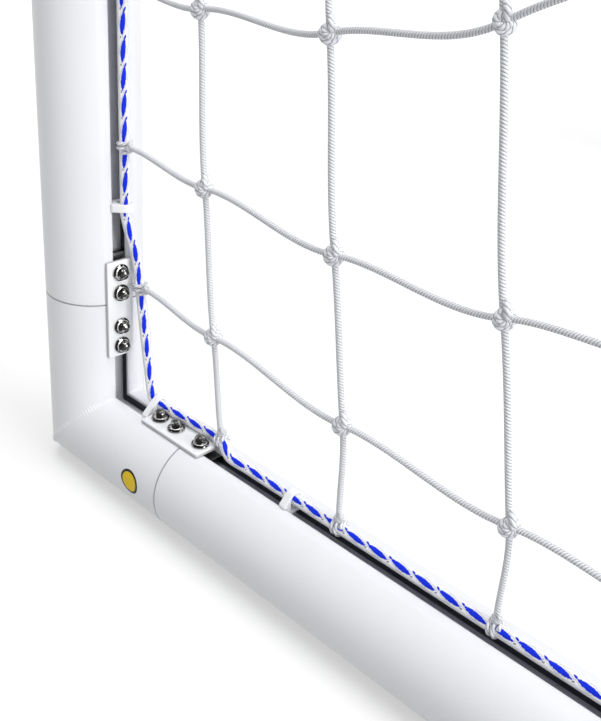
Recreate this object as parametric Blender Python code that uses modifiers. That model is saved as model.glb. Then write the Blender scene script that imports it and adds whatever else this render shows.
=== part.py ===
"""Small football goal: a bolted frame of round grooved tube with a laced net.

Metres, +Z up. The mouth faces -Y, the ground frame runs back along +Y, and the
origin is the middle of the footprint on the ground. Every tube has a groove
along its net side. In a tube's own section u runs across the groove, v points
out of it and w runs along the tube.
"""
import math

import bmesh
import bpy
import numpy as np
from mathutils import Matrix, Vector

# Frame
MOUTH_WIDTH = 1.20
MOUTH_HEIGHT = 0.80
BASE_DEPTH = 0.90
TUBE_RADIUS = 0.0375
TUBE_WALL = 0.0025
ARC_STEPS = 24
SLEEVE_STEPS = 14

# Flat band and net groove of the tube
BAND_CUT = 0.0030
BAND_WALL = 0.0030
LEDGE_HALF = 0.0075
LEDGE_DROP = 0.0006
MOUTH_HALF = 0.0060
CAVITY_HALF = 0.0095
CAVITY_DEPTH = 0.0090
CHANNEL_WALL = 0.0020

# Corner legs, from the crossing of the tube axes to the seam
FRONT_POST_LEG = 0.1173
FRONT_BAR_LEG = 0.1238
FLAT_LEG = 0.1200
INSERT_REACH = 0.070
INSERT_WALL = 0.0030

# Gap that neighbouring pieces keep, and distances for joining points
CLEARANCE = 0.0003
MERGE = 0.00001
JOIN = 0.00003
SNAP = 0.000003

# Splice plates, backing strips and dome nuts
PLATE_WIDTH = 0.0232
PLATE_THICKNESS = 0.0030
PLATE_END_MARGIN = 0.0094
PLATE_CHAMFER = 0.0012
SPLICE_SHIFT = 0.0025
HOLE_SLACK = 0.0006
HOLE_STEPS = 8
STRIP_THICKNESS = 0.0040
STRIP_SLACK = 0.0009
STRIP_NEAR_MARGIN = 0.0085
STRIP_FAR_MARGIN = 0.0135
STUD_RADIUS = 0.0030
FLANGE_RADIUS = 0.0065
FLANGE_HEIGHT = 0.0018
DOME_RADIUS = 0.0050
DOME_DEPTH = 0.00225
DOME_EDGE = 0.0031
DOME_EASE = 0.0004
NECK_RISE = 0.0027
NUT_HEIGHT = 0.0085
NUT_STEPS = 8

# Nut places from the seam, towards the corner when negative
POST_NUTS = (-0.0353, -0.0190, 0.0088, 0.0254)
BAR_NUTS = (-0.0374, -0.0181, 0.0100)

# Net rope and clips
ROPE_RADIUS = 0.0040
ROPE_SIDE = 0.0025
ROPE_BEND = 0.0120
HOOK_BEND = 0.0060
LAY_DOWN = 0.0180
ROPE_EASE = 0.0200
ROPE_STEPS = 12
ROPE_TOLERANCE = 0.0002
ROPE_RING = 2
CLIP_WIDTH = 0.0060
CLIP_STRAP = 0.0020
CLIP_FOOT = 0.0026
CLIP_TAB = 0.0080
CLIP_ARC_STEPS = 7
POST_CLIP_HEIGHT = 0.1940
HOOK_CLIP_GAP = 0.0005
HOOK_SIDE = 0.0065
DIAGONAL_SIDE = 0.0012
BAR_CLIP_PLACE = 0.2260

# Net
CORD = 0.0050
SIDE_MESHES = 7
POST_FIRST_KNOT = 0.1300
BAR_FIRST_KNOT = 0.1450
SLOPE_CROWDING = 1.30
ROW_POWER = 1.045
ROW_POWER_STEP = 0.125
BACK_COLUMNS = 10
BACK_ROWS = 9
SAG = 0.012
SAG_SHARE = 16
EDGE_SEARCH = 0.0125
LOW_SEARCH = 0.0030

# Colours as linear RGB
WHITE_PAINT = (0.82, 0.83, 0.85)
SLEEVE_METAL = (0.60, 0.61, 0.62)
STEEL = (0.55, 0.55, 0.55)
CLIP_WHITE = (0.86, 0.86, 0.87)
ROPE_BLUE = (0.10, 0.14, 0.62)
NET_WHITE = (0.86, 0.86, 0.88)

# Derived places
BAND = TUBE_RADIUS - BAND_CUT
CAVITY_TOP = BAND - BAND_WALL
CAVITY_FLOOR = CAVITY_TOP - CAVITY_DEPTH
INNER_RADIUS = TUBE_RADIUS - TUBE_WALL
PLATE_TOP = BAND + CLEARANCE + PLATE_THICKNESS
ROPE_REST = BAND + CLEARANCE + ROPE_RADIUS
ROPE_OVER = PLATE_TOP + CLEARANCE + ROPE_RADIUS
PASS_SIDE = FLANGE_RADIUS - SPLICE_SHIFT + ROPE_RADIUS + CLEARANCE
POST_X = MOUTH_WIDTH / 2 + TUBE_RADIUS
FRONT_Y = -BASE_DEPTH / 2
REAR_Y = BASE_DEPTH / 2
GROUND_Z = TUBE_RADIUS
TOP_Z = TUBE_RADIUS + MOUTH_HEIGHT
POST_HEIGHT = TOP_Z - GROUND_Z
PLATE_REACH = -BAR_NUTS[0] + PLATE_END_MARGIN
HOOK_PLACE = FRONT_BAR_LEG - PLATE_REACH - HOOK_CLIP_GAP - CLIP_WIDTH / 2
EDGE_GAP = ROPE_RADIUS + CLEARANCE
RIGHT = Vector((1, 0, 0))
BACK = Vector((0, 1, 0))
UP = Vector((0, 0, 1))


def clear_scene():
    """Start from an empty file."""
    for thing in list(bpy.data.objects):
        bpy.data.objects.remove(thing, do_unlink=True)


def collection(name):
    """A collection linked to the scene."""
    found = bpy.data.collections.new(name)
    bpy.context.scene.collection.children.link(found)
    return found


def material(name, colour, roughness, metallic=0.0):
    """A plain Principled material."""
    made = bpy.data.materials.new(name)
    made.use_nodes = True
    shader = made.node_tree.nodes["Principled BSDF"]
    shader.inputs["Base Color"].default_value = (*colour, 1.0)
    shader.inputs["Roughness"].default_value = roughness
    shader.inputs["Metallic"].default_value = metallic
    return made


def section_frame(origin, along, groove):
    """Matrix that takes section coordinates (u, v, w) to the world."""
    across = groove.cross(along)
    turn = Matrix((across, groove, along)).transposed().to_4x4()
    return Matrix.Translation(origin) @ turn


def arc(centre, radius, start, stop, steps):
    """Points on an arc, both ends included; angles in radians from +u."""
    return [
        (centre[0] + radius * math.cos(turn), centre[1] + radius * math.sin(turn))
        for turn in np.linspace(start, stop, steps + 1)
    ]


def mirrored(half):
    """A closed outline from its +u half, listed from the top to the bottom."""
    return half + [(-u, v) for u, v in reversed(half) if abs(u) > JOIN]


def tube_outline():
    """Outer line of the section: round, with the flat band and the groove."""
    edge = math.acos(BAND / TUBE_RADIUS)
    groove = [
        (CAVITY_HALF, CAVITY_FLOOR),
        (CAVITY_HALF, CAVITY_TOP),
        (MOUTH_HALF, CAVITY_TOP),
        (MOUTH_HALF, BAND - LEDGE_DROP),
        (LEDGE_HALF, BAND),
    ]
    round_side = arc((0, 0), TUBE_RADIUS, math.pi / 2 - edge, -math.pi / 2, ARC_STEPS // 2)
    return mirrored(groove + round_side)


def tube_hollow():
    """Inner line of the section, round the channel of the groove."""
    edge = math.acos(CAVITY_TOP / INNER_RADIUS)
    channel = CAVITY_HALF + CHANNEL_WALL
    top = [(channel, CAVITY_FLOOR - CHANNEL_WALL), (channel, CAVITY_TOP)]
    round_side = arc((0, 0), INNER_RADIUS, math.pi / 2 - edge, -math.pi / 2, ARC_STEPS // 2)
    return mirrored(top + round_side)


def sleeve_line(inset):
    """D shaped line of the inner sleeve, drawn in by inset."""
    radius = INNER_RADIUS - CLEARANCE - inset
    chord = CAVITY_FLOOR - CHANNEL_WALL - CLEARANCE - inset
    edge = math.acos(chord / radius)
    return mirrored(arc((0, 0), radius, math.pi / 2 - edge, -math.pi / 2, SLEEVE_STEPS // 2))


def flat_curve(name, lines, thickness, frame, holder, paint):
    """An outline with its holes, extruded to a thickness around its own plane."""
    data = bpy.data.curves.new(name, "CURVE")
    data.dimensions = "2D"
    data.fill_mode = "BOTH"
    data.extrude = thickness / 2
    for line in lines:
        spline = data.splines.new("POLY")
        spline.points.add(len(line) - 1)
        for point, (u, v) in zip(spline.points, line):
            point.co = (u, v, 0, 1)
        spline.use_cyclic_u = True
    data.materials.append(paint)
    made = bpy.data.objects.new(name, data)
    made.matrix_world = frame
    holder.objects.link(made)
    return made


def curve_mesh(lines, low, high):
    """The section lines run along w from low to high, as a closed bmesh."""
    frame = Matrix.Translation((0, 0, (low + high) / 2))
    holder = bpy.context.scene.collection
    made = flat_curve("section", lines, high - low, frame, holder, None)
    bpy.context.view_layer.update()
    depsgraph = bpy.context.evaluated_depsgraph_get()
    mesh = bpy.data.meshes.new_from_object(made.evaluated_get(depsgraph))
    shape = bmesh.new()
    shape.from_mesh(mesh)
    bmesh.ops.transform(shape, matrix=frame, verts=shape.verts)
    bmesh.ops.remove_doubles(shape, verts=shape.verts, dist=MERGE)
    bpy.data.objects.remove(made, do_unlink=True)
    bpy.data.meshes.remove(mesh)
    return shape


def mesh_object(name, shape, frame, holder, paint):
    """An object from a bmesh."""
    bmesh.ops.recalc_face_normals(shape, faces=shape.faces)
    mesh = bpy.data.meshes.new(name)
    shape.to_mesh(mesh)
    shape.free()
    mesh.materials.append(paint)
    made = bpy.data.objects.new(name, mesh)
    made.matrix_world = frame
    holder.objects.link(made)
    return made


def straight_tube(name, start, along, groove, low, high, holder, paint):
    """A tube between two seams, w measured from the start."""
    frame = section_frame(start, along, groove)
    length = high - low - CLEARANCE
    middle = frame @ Matrix.Translation((0, 0, (low + high) / 2))
    return flat_curve(name, [tube_outline(), tube_hollow()], length, middle, holder, paint)


def mitred_leg(lines, along, other, groove, reach):
    """One leg of a corner, cut on the plane between the two legs."""
    frame = section_frame(Vector(), along, groove)
    shape = curve_mesh(lines, -TUBE_RADIUS * 2, reach)
    bmesh.ops.transform(shape, matrix=frame, verts=shape.verts)
    everything = list(shape.verts) + list(shape.edges) + list(shape.faces)
    bmesh.ops.bisect_plane(
        shape,
        geom=everything,
        dist=SNAP,
        plane_co=(0, 0, 0),
        plane_no=(along - other).normalized(),
        clear_inner=True,
    )
    return shape


def mitred_corner(name, lines, place, legs, grooves, reaches, holder, paint):
    """Two mitred legs welded into one piece at the crossing of their axes."""
    whole = mitred_leg(lines, legs[0], legs[1], grooves[0], reaches[0])
    second = mitred_leg(lines, legs[1], legs[0], grooves[1], reaches[1])
    bridge = bpy.data.meshes.new("leg")
    second.to_mesh(bridge)
    second.free()
    whole.from_mesh(bridge)
    bpy.data.meshes.remove(bridge)
    bmesh.ops.remove_doubles(whole, verts=whole.verts, dist=JOIN)
    return mesh_object(name, whole, Matrix.Translation(place), holder, paint)


def plate_lines(nuts):
    """Outline of a splice plate with a hole for each stud."""
    half = PLATE_WIDTH / 2
    low = nuts[0] - PLATE_END_MARGIN
    high = nuts[-1] + PLATE_END_MARGIN
    cut = PLATE_CHAMFER
    edge = [
        (low, -half + cut),
        (low + cut, -half),
        (high - cut, -half),
        (high, -half + cut),
        (high, half - cut),
        (high - cut, half),
        (low + cut, half),
        (low, half - cut),
    ]
    radius = STUD_RADIUS + HOLE_SLACK
    holes = [arc((nut, 0), radius, 0, 2 * math.pi, HOLE_STEPS)[:-1] for nut in nuts]
    return [edge] + holes


def turned_nut():
    """A dome nut with its flange and stud, turned about v, as a mesh."""
    flange_low = PLATE_TOP + CLEARANCE
    strip_top = CAVITY_TOP - CLEARANCE
    foot = strip_top - STRIP_THICKNESS / 2
    top = flange_low + NUT_HEIGHT
    shoulder = top - DOME_DEPTH
    profile = [
        (0, top),
        (DOME_EDGE, top - DOME_EASE),
        (DOME_RADIUS, shoulder),
        (DOME_RADIUS, flange_low + NECK_RISE),
        (FLANGE_RADIUS, flange_low + FLANGE_HEIGHT),
        (FLANGE_RADIUS, flange_low),
        (STUD_RADIUS, flange_low),
        (STUD_RADIUS, foot),
        (0, foot),
    ]
    mesh = bpy.data.meshes.new("profile")
    points = [(radius, 0, height) for radius, height in profile]
    edges = [(index, index + 1) for index in range(len(points) - 1)]
    mesh.from_pydata(points, edges, [])
    made = bpy.data.objects.new("profile", mesh)
    bpy.context.scene.collection.objects.link(made)
    turn = made.modifiers.new("turn", "SCREW")
    turn.axis = "Z"
    turn.steps = NUT_STEPS
    turn.render_steps = NUT_STEPS
    turn.use_merge_vertices = True
    turn.merge_threshold = MERGE
    bpy.context.view_layer.update()
    depsgraph = bpy.context.evaluated_depsgraph_get()
    result = bpy.data.meshes.new_from_object(made.evaluated_get(depsgraph))
    bpy.data.objects.remove(made, do_unlink=True)
    return result


def outer_side(frame, outward):
    """Sign of u that points out of the goal."""
    return 1 if (frame.to_3x3() @ RIGHT).dot(outward) > 0 else -1


def bolt_set(name, nuts, shift, frame, holder, cutters, paint):
    """Backing strip in the groove, with a stud and a dome nut at each hole."""
    low = nuts[0] - STRIP_NEAR_MARGIN
    high = nuts[-1] + STRIP_FAR_MARGIN
    half = CAVITY_HALF - STRIP_SLACK
    top = CAVITY_TOP - CLEARANCE
    strip = bmesh.new()
    size = Matrix.Diagonal((2 * half, STRIP_THICKNESS, high - low, 1))
    middle = Matrix.Translation((0, top - STRIP_THICKNESS / 2, (low + high) / 2))
    bmesh.ops.create_cube(strip, size=1, matrix=middle @ size)
    made = mesh_object(name, strip, frame, holder, paint)
    studs = bmesh.new()
    nut_mesh = turned_nut()
    stand = Matrix.Rotation(-math.pi / 2, 4, "X")
    for nut in nuts:
        before = set(studs.verts)
        studs.from_mesh(nut_mesh)
        added = [vert for vert in studs.verts if vert not in before]
        place = Matrix.Translation((shift, 0, nut)) @ stand
        bmesh.ops.transform(studs, matrix=place, verts=added)
    tool = mesh_object(name + "_studs", studs, frame, cutters, paint)
    tool.hide_render = True
    tool.display_type = "WIRE"
    join = made.modifiers.new("studs", "BOOLEAN")
    join.operation = "UNION"
    join.solver = "EXACT"
    join.object = tool
    return made


def splice(name, start, along, groove, nuts, outward, parts, cutters, paints):
    """Plate, backing strip and nuts over one seam, with w growing off the corner."""
    frame = section_frame(start, along, groove)
    shift = SPLICE_SHIFT * outer_side(frame, outward)
    lift = BAND + CLEARANCE + PLATE_THICKNESS / 2
    lay = Matrix((BACK, UP, RIGHT)).to_4x4()
    plate_frame = frame @ Matrix.Translation((shift, lift, 0)) @ lay
    flat_curve(name + "_plate", plate_lines(nuts), PLATE_THICKNESS, plate_frame, parts, paints[0])
    bolt_set(name + "_bolts", nuts, shift, frame, parts, cutters, paints[1])


def clip_outline(side, height):
    """Clip line: foot in the groove, near tab and strap over the rope."""
    inner = ROPE_RADIUS + CLEARANCE
    outer = inner + CLIP_STRAP
    foot_top = CAVITY_TOP - CLEARANCE
    foot_low = foot_top - CLIP_FOOT
    foot_half = CAVITY_HALF - STRIP_SLACK
    neck = MOUTH_HALF - CLEARANCE
    seat = BAND + CLEARANCE
    centre = (-side, height)
    return (
        [
            (-foot_half, foot_low),
            (foot_half, foot_low),
            (foot_half, foot_top),
            (neck, foot_top),
            (neck, seat),
            (CLIP_TAB, seat),
            (CLIP_TAB, seat + CLIP_STRAP),
        ]
        + arc(centre, outer, 0, math.pi, CLIP_ARC_STEPS)
        + [(-side - outer, seat), (-side - inner, seat)]
        + arc(centre, inner, math.pi, 0, CLIP_ARC_STEPS)
        + [(-side + inner, foot_top), (-foot_half, foot_top)]
    )


def clip(name, start, along, groove, outward, side, height, holder, paint):
    """A net clip across the groove, its near tab on the outer side of the goal."""
    frame = section_frame(start, along, groove)
    out = outer_side(frame, outward)
    line = [(out * u, v) for u, v in clip_outline(side, height)]
    return flat_curve(name, [line], CLIP_WIDTH, frame, holder, paint)


def smooth_route(points, closed):
    """Dense points on a Catmull-Rom curve through the route's own points."""
    count = len(points)
    spans = count if closed else count - 1
    result = []
    for index in range(spans):
        p0 = points[(index - 1) % count] if closed or index else points[0]
        p1 = points[index]
        p2 = points[(index + 1) % count]
        p3 = points[(index + 2) % count] if closed or index < spans - 1 else p2
        span = (p2 - p1).length
        pull = min(span, ROPE_EASE)
        back = max((p1 - p0).length, CLEARANCE)
        ahead = max((p3 - p2).length, CLEARANCE)
        into = ((p2 - p1) / span + (p1 - p0) / back) * pull / 2
        out = ((p3 - p2) / ahead + (p2 - p1) / span) * pull / 2
        for t in np.linspace(0, 1, ROPE_STEPS, endpoint=False):
            a = 2 * t ** 3 - 3 * t ** 2 + 1
            b = t ** 3 - 2 * t ** 2 + t
            c = -2 * t ** 3 + 3 * t ** 2
            d = t ** 3 - t ** 2
            result.append(p1 * a + into * b + p2 * c + out * d)
    if not closed:
        result.append(points[-1].copy())
    return result


def thinned(points):
    """The fewest points that keep the route within the rope's tolerance."""
    first, last = points[0], points[-1]
    run = (last - first).normalized()
    stray = [((p - first) - run * (p - first).dot(run)).length for p in points[1:-1]]
    if not stray or max(stray) < ROPE_TOLERANCE:
        return [first, last]
    middle = stray.index(max(stray)) + 1
    return thinned(points[: middle + 1])[:-1] + thinned(points[middle:])


def rope_object(name, points, closed, holder, paint):
    """A round rope along the points."""
    data = bpy.data.curves.new(name, "CURVE")
    data.dimensions = "3D"
    data.bevel_depth = ROPE_RADIUS
    data.bevel_resolution = ROPE_RING
    data.use_fill_caps = not closed
    spline = data.splines.new("POLY")
    spline.points.add(len(points) - 1)
    for point, place in zip(spline.points, points):
        point.co = (*place, 1)
    spline.use_cyclic_u = closed
    data.materials.append(paint)
    made = bpy.data.objects.new(name, data)
    holder.objects.link(made)
    return made


def splice_stations(seam, nuts):
    """Rope places past a plate: down in the groove, up beside the nuts, down again."""
    near = seam + nuts[0] - PLATE_END_MARGIN
    far = seam + nuts[-1] + PLATE_END_MARGIN
    return [
        (near - ROPE_RADIUS / 2, PASS_SIDE, ROPE_OVER),
        ((near + far) / 2, PASS_SIDE, ROPE_OVER),
        (far + ROPE_RADIUS / 2, PASS_SIDE, ROPE_OVER),
        (far + LAY_DOWN, ROPE_SIDE, ROPE_REST),
        (far + 2 * LAY_DOWN, ROPE_SIDE, ROPE_REST),
    ]


def half_route():
    """Rope route on the +X half, from the crossbar's middle to the rear bar's."""
    top = splice_stations(FLAT_LEG, BAR_NUTS)
    low_top = splice_stations(FLAT_LEG, POST_NUTS)
    bar = splice_stations(FRONT_BAR_LEG, BAR_NUTS)
    rear = splice_stations(FLAT_LEG, BAR_NUTS)
    front = Vector((POST_X, FRONT_Y, 0))
    head = front + UP * TOP_Z
    base = front + UP * GROUND_Z
    tail = Vector((POST_X, REAR_Y, GROUND_Z))
    ring = ROPE_BEND * (1 - math.sqrt(0.5))
    route = [Vector((0, FRONT_Y + ROPE_REST, TOP_Z - ROPE_SIDE))]
    for w, side, height in reversed(top):
        route.append(head - RIGHT * w + BACK * height - UP * side)
    inner = head - RIGHT * PASS_SIDE - UP * PASS_SIDE + BACK * ROPE_OVER
    route.append(inner - RIGHT * ROPE_BEND)
    route.append(inner - RIGHT * ring - UP * ring)
    route.append(inner - UP * ROPE_BEND)
    for w, side, height in low_top:
        route.append(head - UP * w + BACK * height - RIGHT * side)
    clip_low = POST_CLIP_HEIGHT - CLIP_WIDTH
    for w in (POST_HEIGHT / 2, POST_CLIP_HEIGHT + CLIP_WIDTH, clip_low):
        route.append(base + UP * w + BACK * ROPE_REST - RIGHT * ROPE_SIDE)
    plate_end = FRONT_POST_LEG + POST_NUTS[-1] + PLATE_END_MARGIN
    route.append(base + UP * plate_end + BACK * ROPE_OVER - RIGHT * (PASS_SIDE + DIAGONAL_SIDE))
    hook = HOOK_PLACE - CLIP_WIDTH / 2 - CLEARANCE
    lean = HOOK_BEND * math.sqrt(0.5)
    route.append(base + BACK * (hook - HOOK_BEND) + UP * (ROPE_OVER + HOOK_BEND) - RIGHT * HOOK_SIDE)
    route.append(
        base + BACK * (hook - lean) + UP * (ROPE_OVER + HOOK_BEND - lean) - RIGHT * HOOK_SIDE
    )
    route.append(base + BACK * hook + UP * ROPE_OVER - RIGHT * HOOK_SIDE)
    route.append(base + BACK * (hook + CLIP_WIDTH) + UP * ROPE_OVER - RIGHT * HOOK_SIDE)
    for w, side, height in bar[1:]:
        route.append(base + BACK * w + UP * height - RIGHT * side)
    for w in (BAR_CLIP_PLACE, BASE_DEPTH / 2):
        route.append(base + BACK * w + UP * ROPE_REST - RIGHT * ROPE_SIDE)
    for w, side, height in reversed(rear):
        route.append(tail - BACK * w + UP * height - RIGHT * side)
    inner = tail - RIGHT * PASS_SIDE - BACK * PASS_SIDE + UP * ROPE_OVER
    route.append(inner - BACK * ROPE_BEND)
    route.append(inner - RIGHT * ring - BACK * ring)
    route.append(inner - RIGHT * ROPE_BEND)
    for w, side, height in rear:
        route.append(tail - RIGHT * w + UP * height - BACK * side)
    route.append(Vector((0, REAR_Y - ROPE_SIDE, GROUND_Z + ROPE_REST)))
    return route


def across_middle(points):
    """The mirror image of a line of points, without its two ends, run backwards."""
    return [Vector((-p.x, p.y, p.z)) for p in reversed(points[1:-1])]


def whole_route():
    """The closed rope: the smoothed half route and its mirror image."""
    half = half_route()
    dense = smooth_route(half + across_middle(half), True)
    kept = thinned(dense[: ROPE_STEPS * (len(half) - 1) + 1])
    return kept + across_middle(kept)


def slope_ends():
    """The two ends of a sloping net rope, as (y, z) from the lower front corner."""
    start = ROPE_OVER + ROPE_RADIUS + CLEARANCE
    drop = PASS_SIDE + ROPE_RADIUS
    rise = POST_HEIGHT - drop - start
    run = BASE_DEPTH - drop - start
    tilt = ROPE_RADIUS * rise / math.hypot(rise, run)
    near = Vector((start + tilt, POST_HEIGHT - drop))
    far = Vector((BASE_DEPTH - drop, start + ROPE_RADIUS * run / math.hypot(rise, run)))
    return near, far


def net_sheet(name, shape, holder, paint):
    """Cells drawn in by half a cord and opened, then given the cord's thickness."""
    shape.normal_update()
    border = {edge for edge in shape.edges if edge.is_boundary}
    cells = list(shape.faces)
    rim = bmesh.ops.inset_individual(
        shape, faces=cells, thickness=CORD / 2, depth=0, use_even_offset=True
    )["faces"]
    lost = set(cells)
    for face in rim:
        if any(edge in border for edge in face.edges):
            lost.add(face)
    bmesh.ops.delete(shape, geom=list(lost), context="FACES")
    loose = [vert for vert in shape.verts if not vert.link_faces]
    bmesh.ops.delete(shape, geom=loose, context="VERTS")
    made = mesh_object(name, shape, Matrix(), holder, paint)
    thick = made.modifiers.new("thickness", "SOLIDIFY")
    thick.thickness = CORD
    thick.offset = 0
    return made


def unit_grid(columns, rows):
    """A grid whose vertices stand at whole numbers (i, j)."""
    shape = bmesh.new()
    bmesh.ops.create_grid(shape, x_segments=columns, y_segments=rows, size=0.5)
    size = Matrix.Diagonal((columns, rows, 1, 1)) @ Matrix.Translation((0.5, 0.5, 0))
    bmesh.ops.transform(shape, matrix=size, verts=shape.verts)
    return shape


def side_knot(i, j, near, far, post_edge, bar_edge):
    """Place (y, z) of a side net knot, from the lower front corner."""
    last = SIDE_MESHES
    down = (min(i / last, 1)) ** SLOPE_CROWDING
    pitch = (far.x - BAR_FIRST_KNOT) / (last - 1)
    foot_y = BAR_FIRST_KNOT + pitch * (i - 1)
    slope_y = near.x + (far.x - near.x) * down
    slope_z = near.y + (far.y - near.y) * down
    if i == 0:
        rise = POST_FIRST_KNOT + (near.y - POST_FIRST_KNOT) * (j - 1) / (last - 1)
        return post_edge(rise), rise
    t = min(j / max(last - i, 1), 1)
    height = t ** (ROW_POWER + ROW_POWER_STEP * i)
    y = foot_y + (slope_y - foot_y) * height
    foot_z = bar_edge(foot_y)
    return y, foot_z + (slope_z - foot_z) * height


def side_net(name, side, route, holder, paint):
    """Triangular net between a post, a ground bar and a sloping rope."""
    near, far = slope_ends()
    normal = Vector((near.y - far.y, far.x - near.x)).normalized()
    shape = unit_grid(SIDE_MESHES, SIDE_MESHES)
    everything = list(shape.verts) + list(shape.edges) + list(shape.faces)
    bmesh.ops.bisect_plane(
        shape,
        geom=everything,
        dist=CLEARANCE,
        plane_co=(SIDE_MESHES, 0, 0),
        plane_no=Vector((1, 1, 0)).normalized(),
        clear_outer=True,
    )
    local = [(p.y - FRONT_Y, p.z - GROUND_Z) for p in route]
    post = sorted((z, y) for y, z in local if z > ROPE_OVER + HOOK_BEND and y < BASE_DEPTH / 4)
    bar = sorted((y, z) for y, z in local if z < ROPE_OVER + LOW_SEARCH)
    post_z, post_y = zip(*post)
    bar_y, bar_z = zip(*bar)

    def post_edge(z):
        return float(np.interp(z, post_z, post_y)) + EDGE_GAP

    def bar_edge(y):
        return float(np.interp(y, bar_y, bar_z)) + EDGE_GAP

    plane = POST_X - ROPE_SIDE
    for vert in shape.verts:
        i = round(vert.co.x)
        j = round(vert.co.y)
        y, z = side_knot(i, j, near, far, post_edge, bar_edge)
        if i + j == SIDE_MESHES:
            y -= normal.x * EDGE_GAP
            z -= normal.y * EDGE_GAP
        vert.co = (side * plane, FRONT_Y + y, GROUND_Z + z)
    return net_sheet(name, shape, holder, paint)


def back_net(name, route, holder, paint):
    """Sloping net between the crossbar, the rear bar and the two sloping ropes."""
    near, far = slope_ends()
    along = (far - near).normalized()
    lift = Vector((along.y, -along.x))
    half = POST_X - ROPE_SIDE - EDGE_GAP
    top_edge = [p for p in route if p.z > TOP_Z - EDGE_SEARCH]
    low_edge = [p for p in route if p.y > REAR_Y - EDGE_SEARCH]

    def border(edge, x, way):
        """The point on the slope line that just clears the rope at x."""
        run = sorted((p.x, p.y, p.z) for p in edge)
        xs, ys, zs = zip(*run)
        centre = Vector((np.interp(x, xs, ys) - FRONT_Y, np.interp(x, xs, zs) - GROUND_Z))
        return near + along * ((centre - near).dot(along) + way * EDGE_GAP)

    shape = unit_grid(BACK_COLUMNS, BACK_ROWS)
    for vert in shape.verts:
        across = vert.co.x / BACK_COLUMNS
        down = vert.co.y / BACK_ROWS
        x = half * (2 * across - 1)
        top = border(top_edge, x, 1)
        low = border(low_edge, x, -1)
        hang = SAG_SHARE * SAG * across * (1 - across) * down * (1 - down)
        place = top + (low - top) * down + lift * hang
        vert.co = (x, FRONT_Y + place.x, GROUND_Z + place.y)
    return net_sheet(name, shape, holder, paint)


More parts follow.
